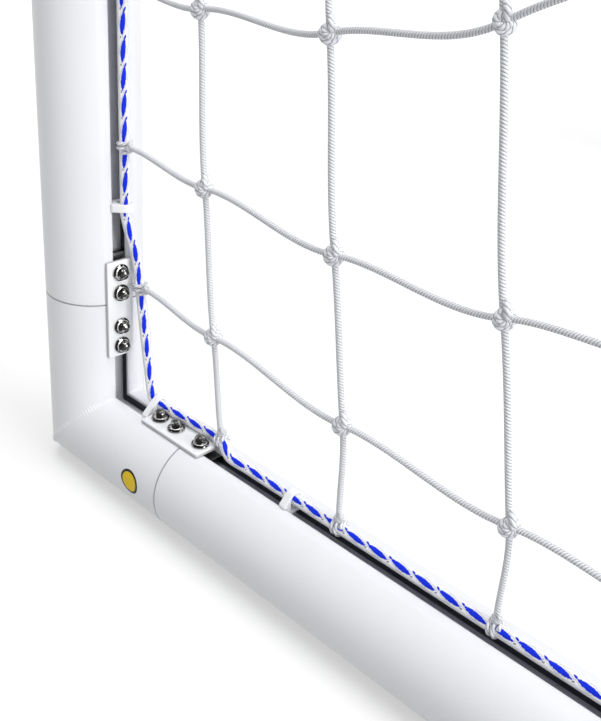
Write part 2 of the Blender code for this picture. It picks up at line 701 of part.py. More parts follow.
def build():
    """Make every piece of the goal."""
    clear_scene()
    parts = collection("mini_goal")
    cutters = collection("cutters")
    paint = material("frame paint", WHITE_PAINT, 0.35)
    sleeve = material("inner sleeve", SLEEVE_METAL, 0.45, 1.0)
    plate = material("plate paint", WHITE_PAINT, 0.40)
    steel = material("bolt steel", STEEL, 0.25, 1.0)
    nylon = material("clip nylon", CLIP_WHITE, 0.45)
    rope = material("rope", ROPE_BLUE, 0.70)
    cord = material("net cord", NET_WHITE, 0.75)
    sections = [tube_outline(), tube_hollow()]
    sleeves = [sleeve_line(0), sleeve_line(INSERT_WALL)]
    trim = CLEARANCE / 2
    reach = INSERT_REACH
    route = whole_route()
    top = Vector((0, FRONT_Y, TOP_Z))
    tail = Vector((0, REAR_Y, GROUND_Z))
    span = POST_X - FLAT_LEG
    straight_tube("crossbar", top, RIGHT, BACK, -span, span, parts, paint)
    straight_tube("rear_bar", tail, RIGHT, UP, -span, span, parts, paint)
    clips = [
        ("clip_crossbar", top, RIGHT, BACK, UP),
        ("clip_rear_bar", tail, RIGHT, UP, BACK),
    ]
    for label, place, along, groove, outward in clips:
        for sign, end in ((-1, "left"), (1, "right")):
            spot = place + RIGHT * sign * MOUTH_WIDTH / 4
            clip(f"{label}_{end}", spot, along, groove, outward, ROPE_SIDE, ROPE_REST, parts, nylon)
    for sign, hand in ((-1, "left"), (1, "right")):
        outward = RIGHT * sign
        base = Vector((sign * POST_X, FRONT_Y, GROUND_Z))
        head = Vector((sign * POST_X, FRONT_Y, TOP_Z))
        rear = Vector((sign * POST_X, REAR_Y, GROUND_Z))
        post_top = POST_HEIGHT - FLAT_LEG
        bar_end = BASE_DEPTH - FLAT_LEG
        straight_tube(f"post_{hand}", base, UP, BACK, FRONT_POST_LEG, post_top, parts, paint)
        straight_tube(f"ground_bar_{hand}", base, BACK, UP, FRONT_BAR_LEG, bar_end, parts, paint)
        corners = [
            ("front_corner", base, (UP, BACK), (BACK, UP), (FRONT_POST_LEG, FRONT_BAR_LEG)),
            ("top_corner", head, (-UP, -outward), (BACK, BACK), (FLAT_LEG, FLAT_LEG)),
            ("rear_corner", rear, (-BACK, -outward), (UP, UP), (FLAT_LEG, FLAT_LEG)),
        ]
        for label, place, legs, grooves, seams in corners:
            ends = [seam - trim for seam in seams]
            mitred_corner(f"{label}_{hand}", sections, place, legs, grooves, ends, parts, paint)
            ends = [seam + reach for seam in seams]
            mitred_corner(f"{label}_sleeve_{hand}", sleeves, place, legs, grooves, ends, parts, sleeve)
        splices = [
            ("front_post", base, UP, BACK, FRONT_POST_LEG, POST_NUTS, outward),
            ("front_bar", base, BACK, UP, FRONT_BAR_LEG, BAR_NUTS, outward),
            ("top_post", head, -UP, BACK, FLAT_LEG, POST_NUTS, outward),
            ("top_bar", head, -outward, BACK, FLAT_LEG, BAR_NUTS, UP),
            ("rear_side", rear, -BACK, UP, FLAT_LEG, BAR_NUTS, outward),
            ("rear_bar", rear, -outward, UP, FLAT_LEG, BAR_NUTS, BACK),
        ]
        for label, place, along, groove, seam, nuts, out in splices:
            name = f"{label}_{hand}"
            spot = place + along * seam
            splice(name, spot, along, groove, nuts, out, parts, cutters, (plate, steel))
        spot = base + UP * POST_CLIP_HEIGHT
        clip(f"clip_post_{hand}", spot, UP, BACK, outward, ROPE_SIDE, ROPE_REST, parts, nylon)
        spot = base + BACK * HOOK_PLACE
        clip(f"clip_hook_{hand}", spot, BACK, UP, outward, HOOK_SIDE, ROPE_OVER, parts, nylon)
        spot = base + BACK * BAR_CLIP_PLACE
        clip(f"clip_bar_{hand}", spot, BACK, UP, outward, ROPE_SIDE, ROPE_REST, parts, nylon)
        near, far = slope_ends()
        line = [
            Vector((sign * (POST_X - ROPE_SIDE), FRONT_Y + p.x, GROUND_Z + p.y)) for p in (near, far)
        ]
        rope_object(f"slope_rope_{hand}", line, False, parts, rope)
        side_net(f"side_net_{hand}", sign, route, parts, cord)
    rope_object("rope", route, True, parts, rope)
    back_net("back_net", route, parts, cord)


build()
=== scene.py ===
# %% [markdown]
# # A mini goal with a laced net
# This lesson dresses a small football goal. The frame is round grooved tube, bolted over its
# seams, with a braided rope laced along the groove and a knotted net hung on the rope.
# The CAD model is loaded first and stays where it is. New pieces could be set on it by eye, but
# each one is worked out in the CAD's own metres, with +Z up, the mouth facing -Y and the origin
# in the middle of the footprint, so it lies where its solid does.

import math
from functools import partialmethod

import bmesh
import bpy
import numpy as np
from mathutils import Matrix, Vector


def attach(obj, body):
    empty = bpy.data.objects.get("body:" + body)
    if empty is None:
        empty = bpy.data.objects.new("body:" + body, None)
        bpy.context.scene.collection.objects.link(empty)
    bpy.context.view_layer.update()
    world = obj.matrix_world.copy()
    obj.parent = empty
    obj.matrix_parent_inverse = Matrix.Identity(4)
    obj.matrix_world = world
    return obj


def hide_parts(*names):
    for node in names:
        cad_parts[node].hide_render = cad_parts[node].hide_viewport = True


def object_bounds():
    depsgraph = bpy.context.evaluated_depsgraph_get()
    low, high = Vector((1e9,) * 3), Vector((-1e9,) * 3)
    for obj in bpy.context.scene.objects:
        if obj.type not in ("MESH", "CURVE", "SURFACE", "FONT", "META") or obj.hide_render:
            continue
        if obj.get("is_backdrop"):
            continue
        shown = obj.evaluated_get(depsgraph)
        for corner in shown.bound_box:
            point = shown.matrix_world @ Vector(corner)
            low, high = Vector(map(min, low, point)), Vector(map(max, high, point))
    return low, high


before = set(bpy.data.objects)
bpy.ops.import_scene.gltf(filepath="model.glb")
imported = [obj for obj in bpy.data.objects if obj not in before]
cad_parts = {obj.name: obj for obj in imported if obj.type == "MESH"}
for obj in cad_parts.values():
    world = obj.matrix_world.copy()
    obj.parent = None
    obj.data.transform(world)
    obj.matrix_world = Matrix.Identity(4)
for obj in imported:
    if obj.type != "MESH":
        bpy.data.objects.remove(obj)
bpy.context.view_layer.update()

# %% [markdown]
# ## The numbers of the frame
# The posts and bars are one 75 mm round tube, joined at six corners whose legs end at the seams.
# The sizes could be measured on the CAD meshes, but named numbers say what each one is. In a
# tube's own section u runs across its groove, v points out of the groove and w runs along it.


# %% Named sizes, in metres
TUBE_RADIUS = 0.0375
POST_X = 0.6375
FRONT_Y = -0.45
REAR_Y = 0.45
GROUND_Z = 0.0375
TOP_Z = 0.8375
POST_HEIGHT = TOP_Z - GROUND_Z
BASE_DEPTH = REAR_Y - FRONT_Y
FRONT_POST_LEG = 0.1173
FRONT_BAR_LEG = 0.1238
FLAT_LEG = 0.1200
CLEARANCE = 0.0003

RIGHT, BACK, UP = np.eye(3)
HANDS = (("left", -1), ("right", 1))


def corner_places(side):
    """Where the tubes' middle lines meet: one side's front bottom, top and rear corner."""
    across = side * POST_X * RIGHT
    base = across + FRONT_Y * BACK + GROUND_Z * UP
    head = across + FRONT_Y * BACK + TOP_Z * UP
    rear = across + REAR_Y * BACK + GROUND_Z * UP
    return base, head, rear


print("tube", 2000 * TUBE_RADIUS, "mm, posts", round(2000 * POST_X), "mm apart")

# %% [markdown]
# ## Camera
# The photograph looks down on the front bottom corner from behind and outside. A camera could be
# turned until the picture looks right. Here its place and turn were solved from the tube edges,
# the seams and the knots, so that each piece can be held against the photograph. The middle of
# the photograph lies below the optical axis, which the lens shift gives.


# %% The camera
def facing(right, up, back, place):
    """The matrix whose columns are an object's own right, up and back, and its place."""
    turn = np.eye(4)
    turn[:3, :4] = np.stack((right, up, back, place), axis=1)
    return Matrix(turn.tolist())


YAW, PITCH, ROLL = (math.radians(angle) for angle in (46.116, 23.726, 3.375))
CAMERA_PLACE = (1.0537, 0.1741, 0.4853)
LENS, LENS_SHIFT, NEAREST = 51.07, -0.1, 0.02
look = np.array((-math.sin(YAW) * math.cos(PITCH), -math.cos(YAW) * math.cos(PITCH), -math.sin(PITCH)))
level = np.array((-math.cos(YAW), math.sin(YAW), 0))
over = np.cross(level, look)
image_right = math.cos(ROLL) * level + math.sin(ROLL) * over
image_up = math.cos(ROLL) * over - math.sin(ROLL) * level
camera_data = bpy.data.cameras.new("camera")
camera_data.lens = LENS
camera_data.shift_y = LENS_SHIFT
camera_data.clip_start = NEAREST
camera = bpy.data.objects.new("camera", camera_data)
camera.matrix_world = facing(image_right, image_up, -look, CAMERA_PLACE)
bpy.context.scene.collection.objects.link(camera)
bpy.context.scene.camera = camera
print("camera looks along", look.round(3))

# %% [markdown]
# ## Shader sums in Python
# A material is a small sum over sockets. It could be wired by hand in the shader editor, but a
# line of Python reads as the sum does on paper. Signal wraps one socket, so that 1 - mask or
# a * b adds the Math node by itself. Finish holds one material, and its node method makes any
# other node.

# %% Signals
TURN = 6.2832
HALF_TURN = 3.14159


class Signal:
    """A shader value: each operator adds the Math node of its name."""

    def __init__(self, tree, socket):
        self.tree = tree
        self.socket = socket

    def calculate(self, operation, *others):
        """A Math node fed with this value and the others."""
        return self.tree.node("ShaderNodeMath", {"operation": operation}, self, *others)

    __add__ = __radd__ = partialmethod(calculate, "ADD")
    __sub__ = partialmethod(calculate, "SUBTRACT")
    __mul__ = __rmul__ = partialmethod(calculate, "MULTIPLY")
    __truediv__ = partialmethod(calculate, "DIVIDE")
    __pow__ = partialmethod(calculate, "POWER")
    __abs__ = partialmethod(calculate, "ABSOLUTE")
    fract = partialmethod(calculate, "FRACT")
    sine = partialmethod(calculate, "SINE")
    most = partialmethod(calculate, "MAXIMUM")
    least = partialmethod(calculate, "MINIMUM")

    def __rsub__(self, other):
        return self.tree.node("ShaderNodeMath", {"operation": "SUBTRACT"}, other, self)

    def wave(self):
        """The sine of so many whole turns, drawn into the range 0 to 1."""
        return (self * TURN).sine() * 0.5 + 0.5

    def rise(self, low, high):
        """Smooth step: 0 below low, 1 above high."""
        settings = {"interpolation_type": "SMOOTHSTEP"}
        return self.tree.node("ShaderNodeMapRange", settings, self, low, high, 0.0, 1.0)

    def sibling(self, output):
        """Another output of the same node."""
        return Signal(self.tree, self.socket.node.outputs[output])


print("a signal can:", ", ".join(name for name in vars(Signal) if not name.startswith("_")))


# %% Trees and finishes
class Tree:
    """A node tree and the one method that adds nodes to it."""

    def __init__(self, nodes):
        self.nodes = nodes.nodes
        self.links = nodes.links

    def feed(self, socket, value):
        """Link a signal or set a number on a socket."""
        if isinstance(value, Signal):
            self.links.new(value.socket, socket)
        else:
            socket.default_value = value

    def node(self, kind, settings, *values, output=0, sockets=None):
        """A node with its settings made first, then its sockets fed in order or by name."""
        made = self.nodes.new(kind)
        for key, value in settings.items():
            setattr(made, key, value)
        for socket, value in zip(made.inputs, values):
            self.feed(socket, value)
        for key, value in (sockets or {}).items():
            self.feed(made.inputs[key], value)
        return Signal(self, made.outputs[output])


class Finish(Tree):
    """One material with a Principled shader."""

    def __init__(self, name, **constants):
        self.material = bpy.data.materials.new(name)
        self.material.use_nodes = True
        super().__init__(self.material.node_tree)
        self.shader = self.nodes["Principled BSDF"]
        for key, value in constants.items():
            self.shader.inputs[key.replace("_", " ")].default_value = value

    def place(self):
        """Object coordinates in metres."""
        return self.node("ShaderNodeTexCoord", {}, output="Object")

    def noise(self, scale, detail=2.0):
        """Noise from 0 to 1, scale in cycles per metre."""
        sockets = {"Vector": self.place(), "Scale": scale, "Detail": detail}
        return self.node("ShaderNodeTexNoise", {}, sockets=sockets)

    def uv(self):
        """The two numbers of the piece's own UV map."""
        chart = self.node("ShaderNodeUVMap", {"uv_map": "weave"})
        first = self.node("ShaderNodeSeparateXYZ", {}, chart)
        return first, first.sibling(1)

    def blend(self, factor, first, second):
        """Colour between first and second."""
        sockets = {0: factor, 6: first, 7: second}
        return self.node("ShaderNodeMix", {"data_type": "RGBA"}, output=2, sockets=sockets)

    def bump(self, height, distance):
        """Normal from a height signal, distance in metres for a height of 1."""
        sockets = {"Height": height, "Distance": distance}
        self.feed(self.shader.inputs["Normal"], self.node("ShaderNodeBump", {}, sockets=sockets))

    def colour(self, value):
        self.feed(self.shader.inputs["Base Color"], value)

    def rough(self, value):
        self.feed(self.shader.inputs["Roughness"], value)


print("a finish can:", ", ".join(name for name in vars(Finish) if not name.startswith("_")))

# %% [markdown]
# ## Finishes
# The tube is powder coated: white, a little blue in the shade, with the faint dimples of baked
# powder. Its groove is painted dark as painted shade, and its seams carry a thin painted shade.
# The plates carry the same coat over steel, and their sides are coloured a mid grey. Nuts are
# bright stainless, with their reflections painted into the colour; clips are moulded nylon.
# Images could give all this, but noise on Object coordinates keeps its scale in metres and has
# no tiles or seams.


# %% Paint, steel and nylon
def powder_coat(name, colour, dark):
    """White coat with slow mottling; UV x is 1 in the groove, where the colour falls to dark as painted
    shade.
    """
    made = Finish(name, IOR=1.5)
    mottle = made.noise(9.0, 3.0)
    deep = made.uv()[0]
    shade = tuple(0.965 * part for part in colour[:3]) + (1.0,)
    made.colour(made.blend(deep, made.blend(mottle, colour, shade), dark))
    made.rough(0.30 + 0.12 * mottle + 0.25 * deep)
    made.bump(made.noise(900.0), 0.00006)
    return made


def steel_with_painted_reflections():
    """Polished nut with painted reflections: UV y climbs the profile, and its rings and sectors go from
    near black to bright in place of reflections and highlights.
    """
    made = Finish("steel with painted reflections", Metallic=1.0)
    turn, climb = made.uv()
    grain = made.noise(2600.0)
    patch = made.noise(480.0)
    rim = 1 - climb.rise(0.20, 0.25)
    ring = climb.rise(0.375, 0.40) - climb.rise(0.43, 0.455)
    crown = climb.rise(0.62, 0.85)
    painted_reflection_sector = ((turn * 3 + patch * 1.2) * TURN).sine().rise(0.55, 0.90)
    # Painted reflections: a bright rim, a bright highlight ring, a dark crown and bright sectors, all in
    # the colour.
    shine = rim * 0.30 + ring * 0.85 + crown * 0.06 + painted_reflection_sector * 0.55
    made.colour(made.blend(shine.least(1.0), (0.016, 0.015, 0.014, 1), (0.78, 0.77, 0.75, 1)))
    made.rough(0.10 + 0.10 * grain)
    made.bump(grain, 0.00002)
    return made


def moulded_nylon():
    """White nylon with a fine spark-eroded skin."""
    made = Finish("white nylon")
    cloud = made.noise(120.0)
    made.colour(made.blend(cloud, (0.86, 0.87, 0.88, 1), (0.80, 0.81, 0.83, 1)))
    made.rough(0.38 + 0.12 * cloud)
    made.bump(made.noise(2400.0), 0.00003)
    return made


def extruded_metal():
    """Bare extruded aluminium: a dull skin, mottled by the die."""
    made = Finish("extruded aluminium", Metallic=1.0)
    mottle = made.noise(700.0, 3.0)
    made.colour(made.blend(mottle, (0.60, 0.61, 0.62, 1), (0.48, 0.49, 0.50, 1)))
    made.rough(0.38 + 0.2 * mottle)
    made.bump(mottle, 0.00004)
    return made


# The tube's dark colour is painted shade for the groove's walls, lips and floor edges, and for the seams.
tube_paint = powder_coat("white powder coat", (0.82, 0.83, 0.86, 1), (0.028, 0.033, 0.048, 1))
# The plate's sides take the second colour, a mid grey; slab sets UV x to 1 there.
plate_paint = powder_coat("plate powder coat", (0.86, 0.87, 0.89, 1), (0.50, 0.50, 0.52, 1))
steel = steel_with_painted_reflections()
nylon = moulded_nylon()
aluminium = extruded_metal()
print("finishes so far:", len(bpy.data.materials))

# %% [markdown]
# ## Rope and net finishes
# The rope is a plaited braid: white strands cross over a royal blue core strand, which shows as
# a long leaf and, between two leaves, as two small flecks. The net cord is twisted from three
# white strands. Strands could be modelled one by one, but that takes millions of faces. A
# pattern on the cord's own UV map is light and follows every bend: UV x runs once round the
# cord, and UV y counts the plait's repeats or the turns of the twist.


# %% Braid and twist
def braid():
    """Leaf: |a|^1.6 + |b|^1.8 + noise under 1, a the skewed share round and b the share along."""
    made = Finish("blue flecked braid", Specular_IOR_Level=0.2)
    round_it, repeats = made.uv()
    fray = made.noise(700.0) * 0.9 - 0.45

    def leaf(place, shift, half_round, half_along, skew):
        """The distance round is taken to the nearer of the two rows, half a turn apart."""
        ahead = (repeats + shift).fract() - 0.5
        across = (round_it * 2 + 2 * place).fract() - 0.5
        a = abs(across - ahead * skew) / (2 * half_round)
        return 1 - (a**1.6 + abs(ahead / half_along) ** 1.8 + fray).rise(0.80, 1.10)

    long_leaf = leaf(0.25, 0.5, 0.074, 0.46, 0.16)
    fleck = leaf(0.315, 0.0, 0.032, 0.085, 0.5)
    # These spots are painted shade: dark specks in the gaps between strands, beside the leaves.
    painted_gap_shade = leaf(0.19, 0.0, 0.022, 0.05, -0.3)
    # The grey lines where strands cross and the fine hatch are painted shade in the creases between them.
    first = abs((repeats + round_it * 4 + 0.5).fract() - 0.5) * 2
    second = abs((repeats - round_it * 4 + 0.5).fract() - 0.5) * 2
    ridge = (1 - first).least(1 - second)
    line = 1 - ridge.rise(0.0, 0.10)
    threads = (repeats * 26 + round_it * 26).wave()
    hatch = (repeats * 13 - round_it * 60).wave()
    white = made.blend(line * 0.7 + hatch * 0.18, (0.92, 0.925, 0.94, 1), (0.36, 0.37, 0.44, 1))
    royal = made.blend(threads, (0.001, 0.040, 0.92, 1), (0.0, 0.008, 0.50, 1))
    flecked = made.blend(long_leaf.most(fleck), white, royal)
    made.colour(made.blend(painted_gap_shade * 0.75, flecked, (0.05, 0.05, 0.07, 1)))
    made.rough(0.58 + 0.1 * threads)
    made.bump(ridge.rise(0.0, 0.5) * 0.5 - long_leaf * 0.5 - painted_gap_shade * 0.6 + hatch * 0.06, 0.0007)
    return made


def twist():
    """Three strands: the height is |sin(pi (3 round + 3 turns))|, lowest between two strands, where the
    colour darkens as painted shade.
    """
    made = Finish("twisted net cord", Specular_IOR_Level=0.2)
    round_it, turns = made.uv()
    crown = abs(((round_it * 3 + turns * 3) * HALF_TURN).sine())
    threads = (round_it * 24 - turns * 20).wave()
    painted_hollow_shade = 1 - crown.rise(0.05, 0.60)
    made.colour(made.blend(painted_hollow_shade, (0.78, 0.79, 0.82, 1), (0.34, 0.35, 0.40, 1)))
    made.rough(0.6 + 0.12 * threads)
    made.bump(crown + threads * 0.08, 0.0004)
    return made


rope_braid = braid()
net_twist = twist()
print("finishes:", len(bpy.data.materials))

# %% [markdown]
# ## From a grid of points to a piece
# A tube, a plate or a cord is a skin with two directions. Blender's bevelled curves could make
# some of them, but a grid of points, rows along and columns round, makes them all, with any
# section and with its UV map. The faces join neighbours, and a grid that closes on itself joins
# its last row or column to the first.


# %% Grids
def surface(points, wrap_rows=False, uv=None):
    """Points, the four corners of each face, and a UV per corner; the columns close on themselves.

    UV x is the column's share of the way round and UV y is the row's, times the two numbers of
    uv. Where uv is an array, it holds the UV of each point.
    """
    rows, columns = points.shape[:2]
    index = np.arange(rows * columns).reshape(rows, columns)
    height = rows if wrap_rows else rows - 1
    if isinstance(uv, np.ndarray):
        chart = np.pad(uv, ((0, 1), (0, 1), (0, 0)), mode="wrap")
    else:
        scale = uv or (1.0, 1.0)
        down, along = np.meshgrid(np.arange(rows + 1), np.arange(columns + 1), indexing="ij")
        chart = np.stack((along / columns * scale[0], down / height * scale[1]), axis=-1)
    grid = np.pad(index, ((0, 1), (0, 1)), mode="wrap")
    corners = [(0, 0), (0, 1), (1, 1), (1, 0)]
    faces = np.stack([grid[i : i + height, j : j + columns] for i, j in corners], axis=-1)
    charts = np.stack([chart[i : i + height, j : j + columns] for i, j in corners], axis=-2)
    return points.reshape(-1, 3), faces.reshape(-1, 4), charts.reshape(-1, 4, 2)


def capped(points):
    """The grid with a first and a last row drawn together in their middle."""
    first = np.broadcast_to(points[0].mean(axis=0), points[0].shape)
    last = np.broadcast_to(points[-1].mean(axis=0), points[-1].shape)
    return np.concatenate((first[None], points, last[None]))


def spot(start, along, groove, u, v, w):
    """Start plus u across, v out of the groove and w along, for numbers or arrays."""
    across = np.cross(groove, along)
    u, v, w = (np.asarray(part)[..., None] for part in (u, v, w))
    return start + u * across + v * groove + w * along


def circle(turn):
    """(cos a, sin a) for each angle."""
    return np.stack((np.cos(turn), np.sin(turn)), axis=1)


print("faces of a grid of 3 by 4:", len(surface(np.zeros((3, 4, 3)))[1]))


# %% Pieces
MERGE = 1e-6


def mesh_object(name, points, faces, finish):
    """A mesh object with one finish."""
    mesh = bpy.data.meshes.new(name)
    mesh.from_pydata(points.tolist(), [], faces)
    mesh.materials.append(finish.material)
    made = bpy.data.objects.new(name, mesh)
    bpy.context.scene.collection.objects.link(made)
    return made


def settle(made, nodes, sharp):
    """Doubles merged, faces turned outwards, edges under the sharp angle smooth, tied to the frame."""
    mesh = made.data
    shape = bmesh.new()
    shape.from_mesh(mesh)
    bmesh.ops.remove_doubles(shape, verts=shape.verts, dist=MERGE)
    bmesh.ops.recalc_face_normals(shape, faces=shape.faces)
    shape.to_mesh(mesh)
    shape.free()
    mesh.shade_smooth()
    mesh.set_sharp_from_angle(angle=math.radians(sharp))
    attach(made, "root")
    if nodes:
        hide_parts(*nodes)


def make_piece(name, surfaces, finish, nodes=(), sharp=50.0):
    """One mesh object from several surfaces, riding on the frame."""
    counts = np.cumsum([0] + [len(points) for points, faces, charts in surfaces])
    points = np.concatenate([one[0] for one in surfaces])
    faces = np.concatenate([one[1] + start for one, start in zip(surfaces, counts)])
    charts = np.concatenate([one[2] for one in surfaces])
    made = mesh_object(name, points, faces.tolist(), finish)
    layer = made.data.uv_layers.new(name="weave")
    layer.data.foreach_set("uv", charts.astype(np.float32).ravel())
    settle(made, nodes, sharp)


print("doubles merge under", 1000 * MERGE, "mm")

# %% [markdown]
# ## The grooved tube
# The real tube is extruded aluminium, cut and powder coated. A flat band runs along it, and in
# the band an undercut groove takes the feet of the clips and the strips behind the splice
# plates. A cylinder with the groove cut out by a Boolean would have razor edges and loose
# shading. So the section is drawn once, with each corner softened, and carried along the tube.
# The outer line, the end ring and the inner line make one closed surface.

# %% The section
BAND = 0.0345
LEDGE_HALF = 0.0075
LEDGE_DROP = 0.0006
MOUTH_HALF = 0.0060
CAVITY_HALF = 0.0095
CAVITY_TOP = 0.0315
CAVITY_FLOOR = 0.0225
CHANNEL_WALL = 0.0020
WALL = 0.0025
EDGE_EASE = 0.0016
CORNER_CUTS = (0.0004, 0.0004, 0.0008, 0.0005, 0.0006, 0.0004, 0.0005, 0.0014)


def softened(corners, cuts, steps=4):
    """Each corner C becomes (1-t)^2 P + 2t(1-t) C + t^2 Q, with P and Q a cut before and after."""
    t = np.linspace(0, 1, steps)[:, None]
    line = [corners[:1]]
    for before, corner, after, cut in zip(corners[:-2], corners[1:-1], corners[2:], cuts):
        p = corner + (before - corner) * cut / np.linalg.norm(before - corner)
        q = corner + (after - corner) * cut / np.linalg.norm(after - corner)
        line.append((1 - t) ** 2 * p + 2 * t * (1 - t) * corner + t**2 * q)
    return np.concatenate(line + [corners[-1:]])


def tube_section():
    """Outer line of the tube, listed once round from the groove floor."""
    edge = math.asin(BAND / TUBE_RADIUS)
    ring = TUBE_RADIUS * circle(np.linspace(edge - EDGE_EASE / TUBE_RADIUS, -math.pi / 2, 44))
    corners = np.array(
        [
            (0.0, CAVITY_FLOOR),
            (CAVITY_HALF / 3, CAVITY_FLOOR),
            (CAVITY_HALF * 2 / 3, CAVITY_FLOOR),
            (CAVITY_HALF, CAVITY_FLOOR),
            (CAVITY_HALF, CAVITY_TOP),
            (MOUTH_HALF, CAVITY_TOP),
            (MOUTH_HALF, BAND - LEDGE_DROP),
            (LEDGE_HALF, BAND),
            (TUBE_RADIUS * math.cos(edge), BAND),
            tuple(ring[0]),
        ]
    )
    half = np.concatenate((softened(corners, CORNER_CUTS)[:-1], ring))
    return np.concatenate((half, half[-2:0:-1] * (-1, 1)))


def outward_normals(outline):
    """Square to the chord between a point's two neighbours, and pointing away from the middle."""
    tangent = np.roll(outline, -1, axis=0) - np.roll(outline, 1, axis=0)
    normal = np.stack((tangent[:, 1], -tangent[:, 0]), axis=1)
    normal /= np.linalg.norm(normal, axis=1)[:, None]
    middle = outline.mean(axis=0)
    return normal if ((outline - middle) * normal).sum() > 0 else -normal


OUTLINE = tube_section()
OUTWARD = outward_normals(OUTLINE)
print("section:", len(OUTLINE), "points")

# %% Inside and shade
INNER_FLAT = 0.0200
ROOF_DROP = 0.0004
FLOOR_SHADE, FLOOR_CLEAR, FLOOR_FADE = 0.30, 0.0070, 0.0025
LIP_SHADE = 0.15


def hollow_line(outline):
    """Inner line, point for point: the wall's thickness inside, and round the channel."""
    u, v = outline.T
    ring = outline * ((TUBE_RADIUS - WALL) / np.hypot(u, v))[:, None]
    channel = CAVITY_HALF + CHANNEL_WALL
    roof = CAVITY_TOP - ROOF_DROP
    inside = (np.abs(u) <= CAVITY_HALF + 1e-6) & (v > 0)
    over_floor = v > CAVITY_FLOOR + 1e-4
    channel_u = np.sign(u) * np.where(over_floor, channel, np.abs(u) * channel / CAVITY_HALF)
    channel_v = np.where(over_floor, np.minimum(v, roof), CAVITY_FLOOR - CHANNEL_WALL)
    boxed = np.stack((channel_u, channel_v), axis=1)
    low = np.stack((np.clip(ring[:, 0], -INNER_FLAT, INNER_FLAT), np.minimum(ring[:, 1], roof)), axis=1)
    flat = (v > BAND - 0.0002) & ~inside
    return np.where(inside[:, None], boxed, np.where(flat[:, None], low, ring))


def groove_shade(outline):
    """0 on the skin, part shade on the lips and the floor's middle, 1 on the walls behind the lips."""
    u, v = outline.T
    inside = (np.abs(u) < CAVITY_HALF + 1e-6) & (v > 0) & (v < BAND - 0.0012)
    floor = FLOOR_SHADE * np.clip((np.abs(u) - FLOOR_CLEAR) / FLOOR_FADE, 0, 1)
    lip = np.where(np.abs(u) < MOUTH_HALF + 0.0003, LIP_SHADE, 1.0)
    wall = np.where(v > CAVITY_TOP - 0.0002, lip, 1.0)
    return np.where(inside, np.where(v < CAVITY_FLOOR + 1e-5, floor, wall), 0.0)


HOLLOW = hollow_line(OUTLINE)
GROOVE_SHADE = groove_shade(OUTLINE)
print("points in the shade of the groove:", int((GROOVE_SHADE > 0).sum()))

# %% [markdown]
# ## Straight tubes
# Posts, ground bars, crossbar and rear bar are cut square, and their rims are broken a little
# before the paint. A Bevel modifier could do that, but it would also round the groove's corners
# a second time. So each rim is a few rows, every one drawn in by an inset and set back by a
# step. Where two tubes meet, these rims leave the fine dark seam, and their rows darken it
# further with painted shade.


# %% Straight tubes
RIM = ((0.00035, 0.0), (0.00012, 0.00010), (0.0, 0.00035), (0.0, 0.0011), (0.0, 0.0015))
# RIM_SHADE is painted shade that darkens the rows next to each seam.
RIM_SHADE = np.array((0.8, 0.5, 0.3, 0.0, 0.0))


def tube_chart(rows, second_rim):
    """UV of a tube: x is the groove's painted shade or, at a rim, the painted shade of the seam, and y is
    the row.
    """
    seam_shade = np.zeros(rows)
    seam_shade[: len(RIM)] = RIM_SHADE
    seam_shade[second_rim : second_rim + len(RIM)] = RIM_SHADE[::-1]
    shade = np.maximum(GROOVE_SHADE[None], seam_shade[:, None])
    return np.stack((shade, np.broadcast_to(np.arange(rows)[:, None], shade.shape)), axis=-1)


def straight_tube(start, along, groove, low, high):
    """Outer line at each w with softened rims, then the inner line back, closed both ways."""
    near, far = low + CLEARANCE / 2, high - CLEARANCE / 2
    outer = [(inset, near + step) for inset, step in RIM]
    outer += [(inset, far - step) for inset, step in reversed(RIM)]
    rows = [spot(start, along, groove, *(OUTLINE - inset * OUTWARD).T, w) for inset, w in outer]
    rows += [spot(start, along, groove, *HOLLOW.T, w) for w in (far, near)]
    return surface(np.array(rows), wrap_rows=True, uv=tube_chart(len(rows), len(RIM)))


TOP_MIDDLE = FRONT_Y * BACK + TOP_Z * UP
TAIL_MIDDLE = REAR_Y * BACK + GROUND_Z * UP
SPAN = POST_X - FLAT_LEG
tubes = [("crossbar", TOP_MIDDLE, RIGHT, BACK, -SPAN, SPAN)]
tubes += [("rear_bar", TAIL_MIDDLE, RIGHT, UP, -SPAN, SPAN)]
for hand, side in HANDS:
    base = corner_places(side)[0]
    tubes.append((f"post_{hand}", base, UP, BACK, FRONT_POST_LEG, POST_HEIGHT - FLAT_LEG))
    tubes.append((f"ground_bar_{hand}", base, BACK, UP, FRONT_BAR_LEG, BASE_DEPTH - FLAT_LEG))
for name, *run in tubes:
    make_piece(f"{name}_tube", [straight_tube(*run)], tube_paint, [name])
print("straight tubes:", len(tubes))

# %% [markdown]
# ## Mitred corners
# A corner is two short legs cut at 45 degrees and welded. Two bevelled tubes could be joined
# there, but their meshes wouldn't meet point for point. Here each section point meets its twin
# of the other leg on the mitre plane. A parabola between the legs rounds the sharp edge there,
# as the grinder does after welding. The groove can't be reached by the grinder and stays nearly
# sharp. A separate bead carries the ripples of the torch. It is flat where the corner stands.


# %% Corner legs
MITRE_EASE = 0.0050
MITRE_ROWS = 9
NEARLY_SHARP = 0.1
SHARP_HALF, SHARP_FROM, SHARP_OVER = 0.021, 0.028, 0.005


def corner_points(place, legs, grooves, leg, line, w):
    """Points of a leg; the second leg takes the section mirrored, so that the twins agree."""
    u = line[:, 0] * (1 if leg == 0 else -1)
    return spot(place, legs[leg], grooves[leg], u, line[:, 1], w)


def mitre_w(legs, grooves, line):
    """Where each section point meets the plane between the legs: w = -(u U.n + v V.n)."""
    normal = legs[0] - legs[1]
    across = np.cross(grooves[0], legs[0])
    return -(line[:, 0] * across.dot(normal) + line[:, 1] * grooves[0].dot(normal))


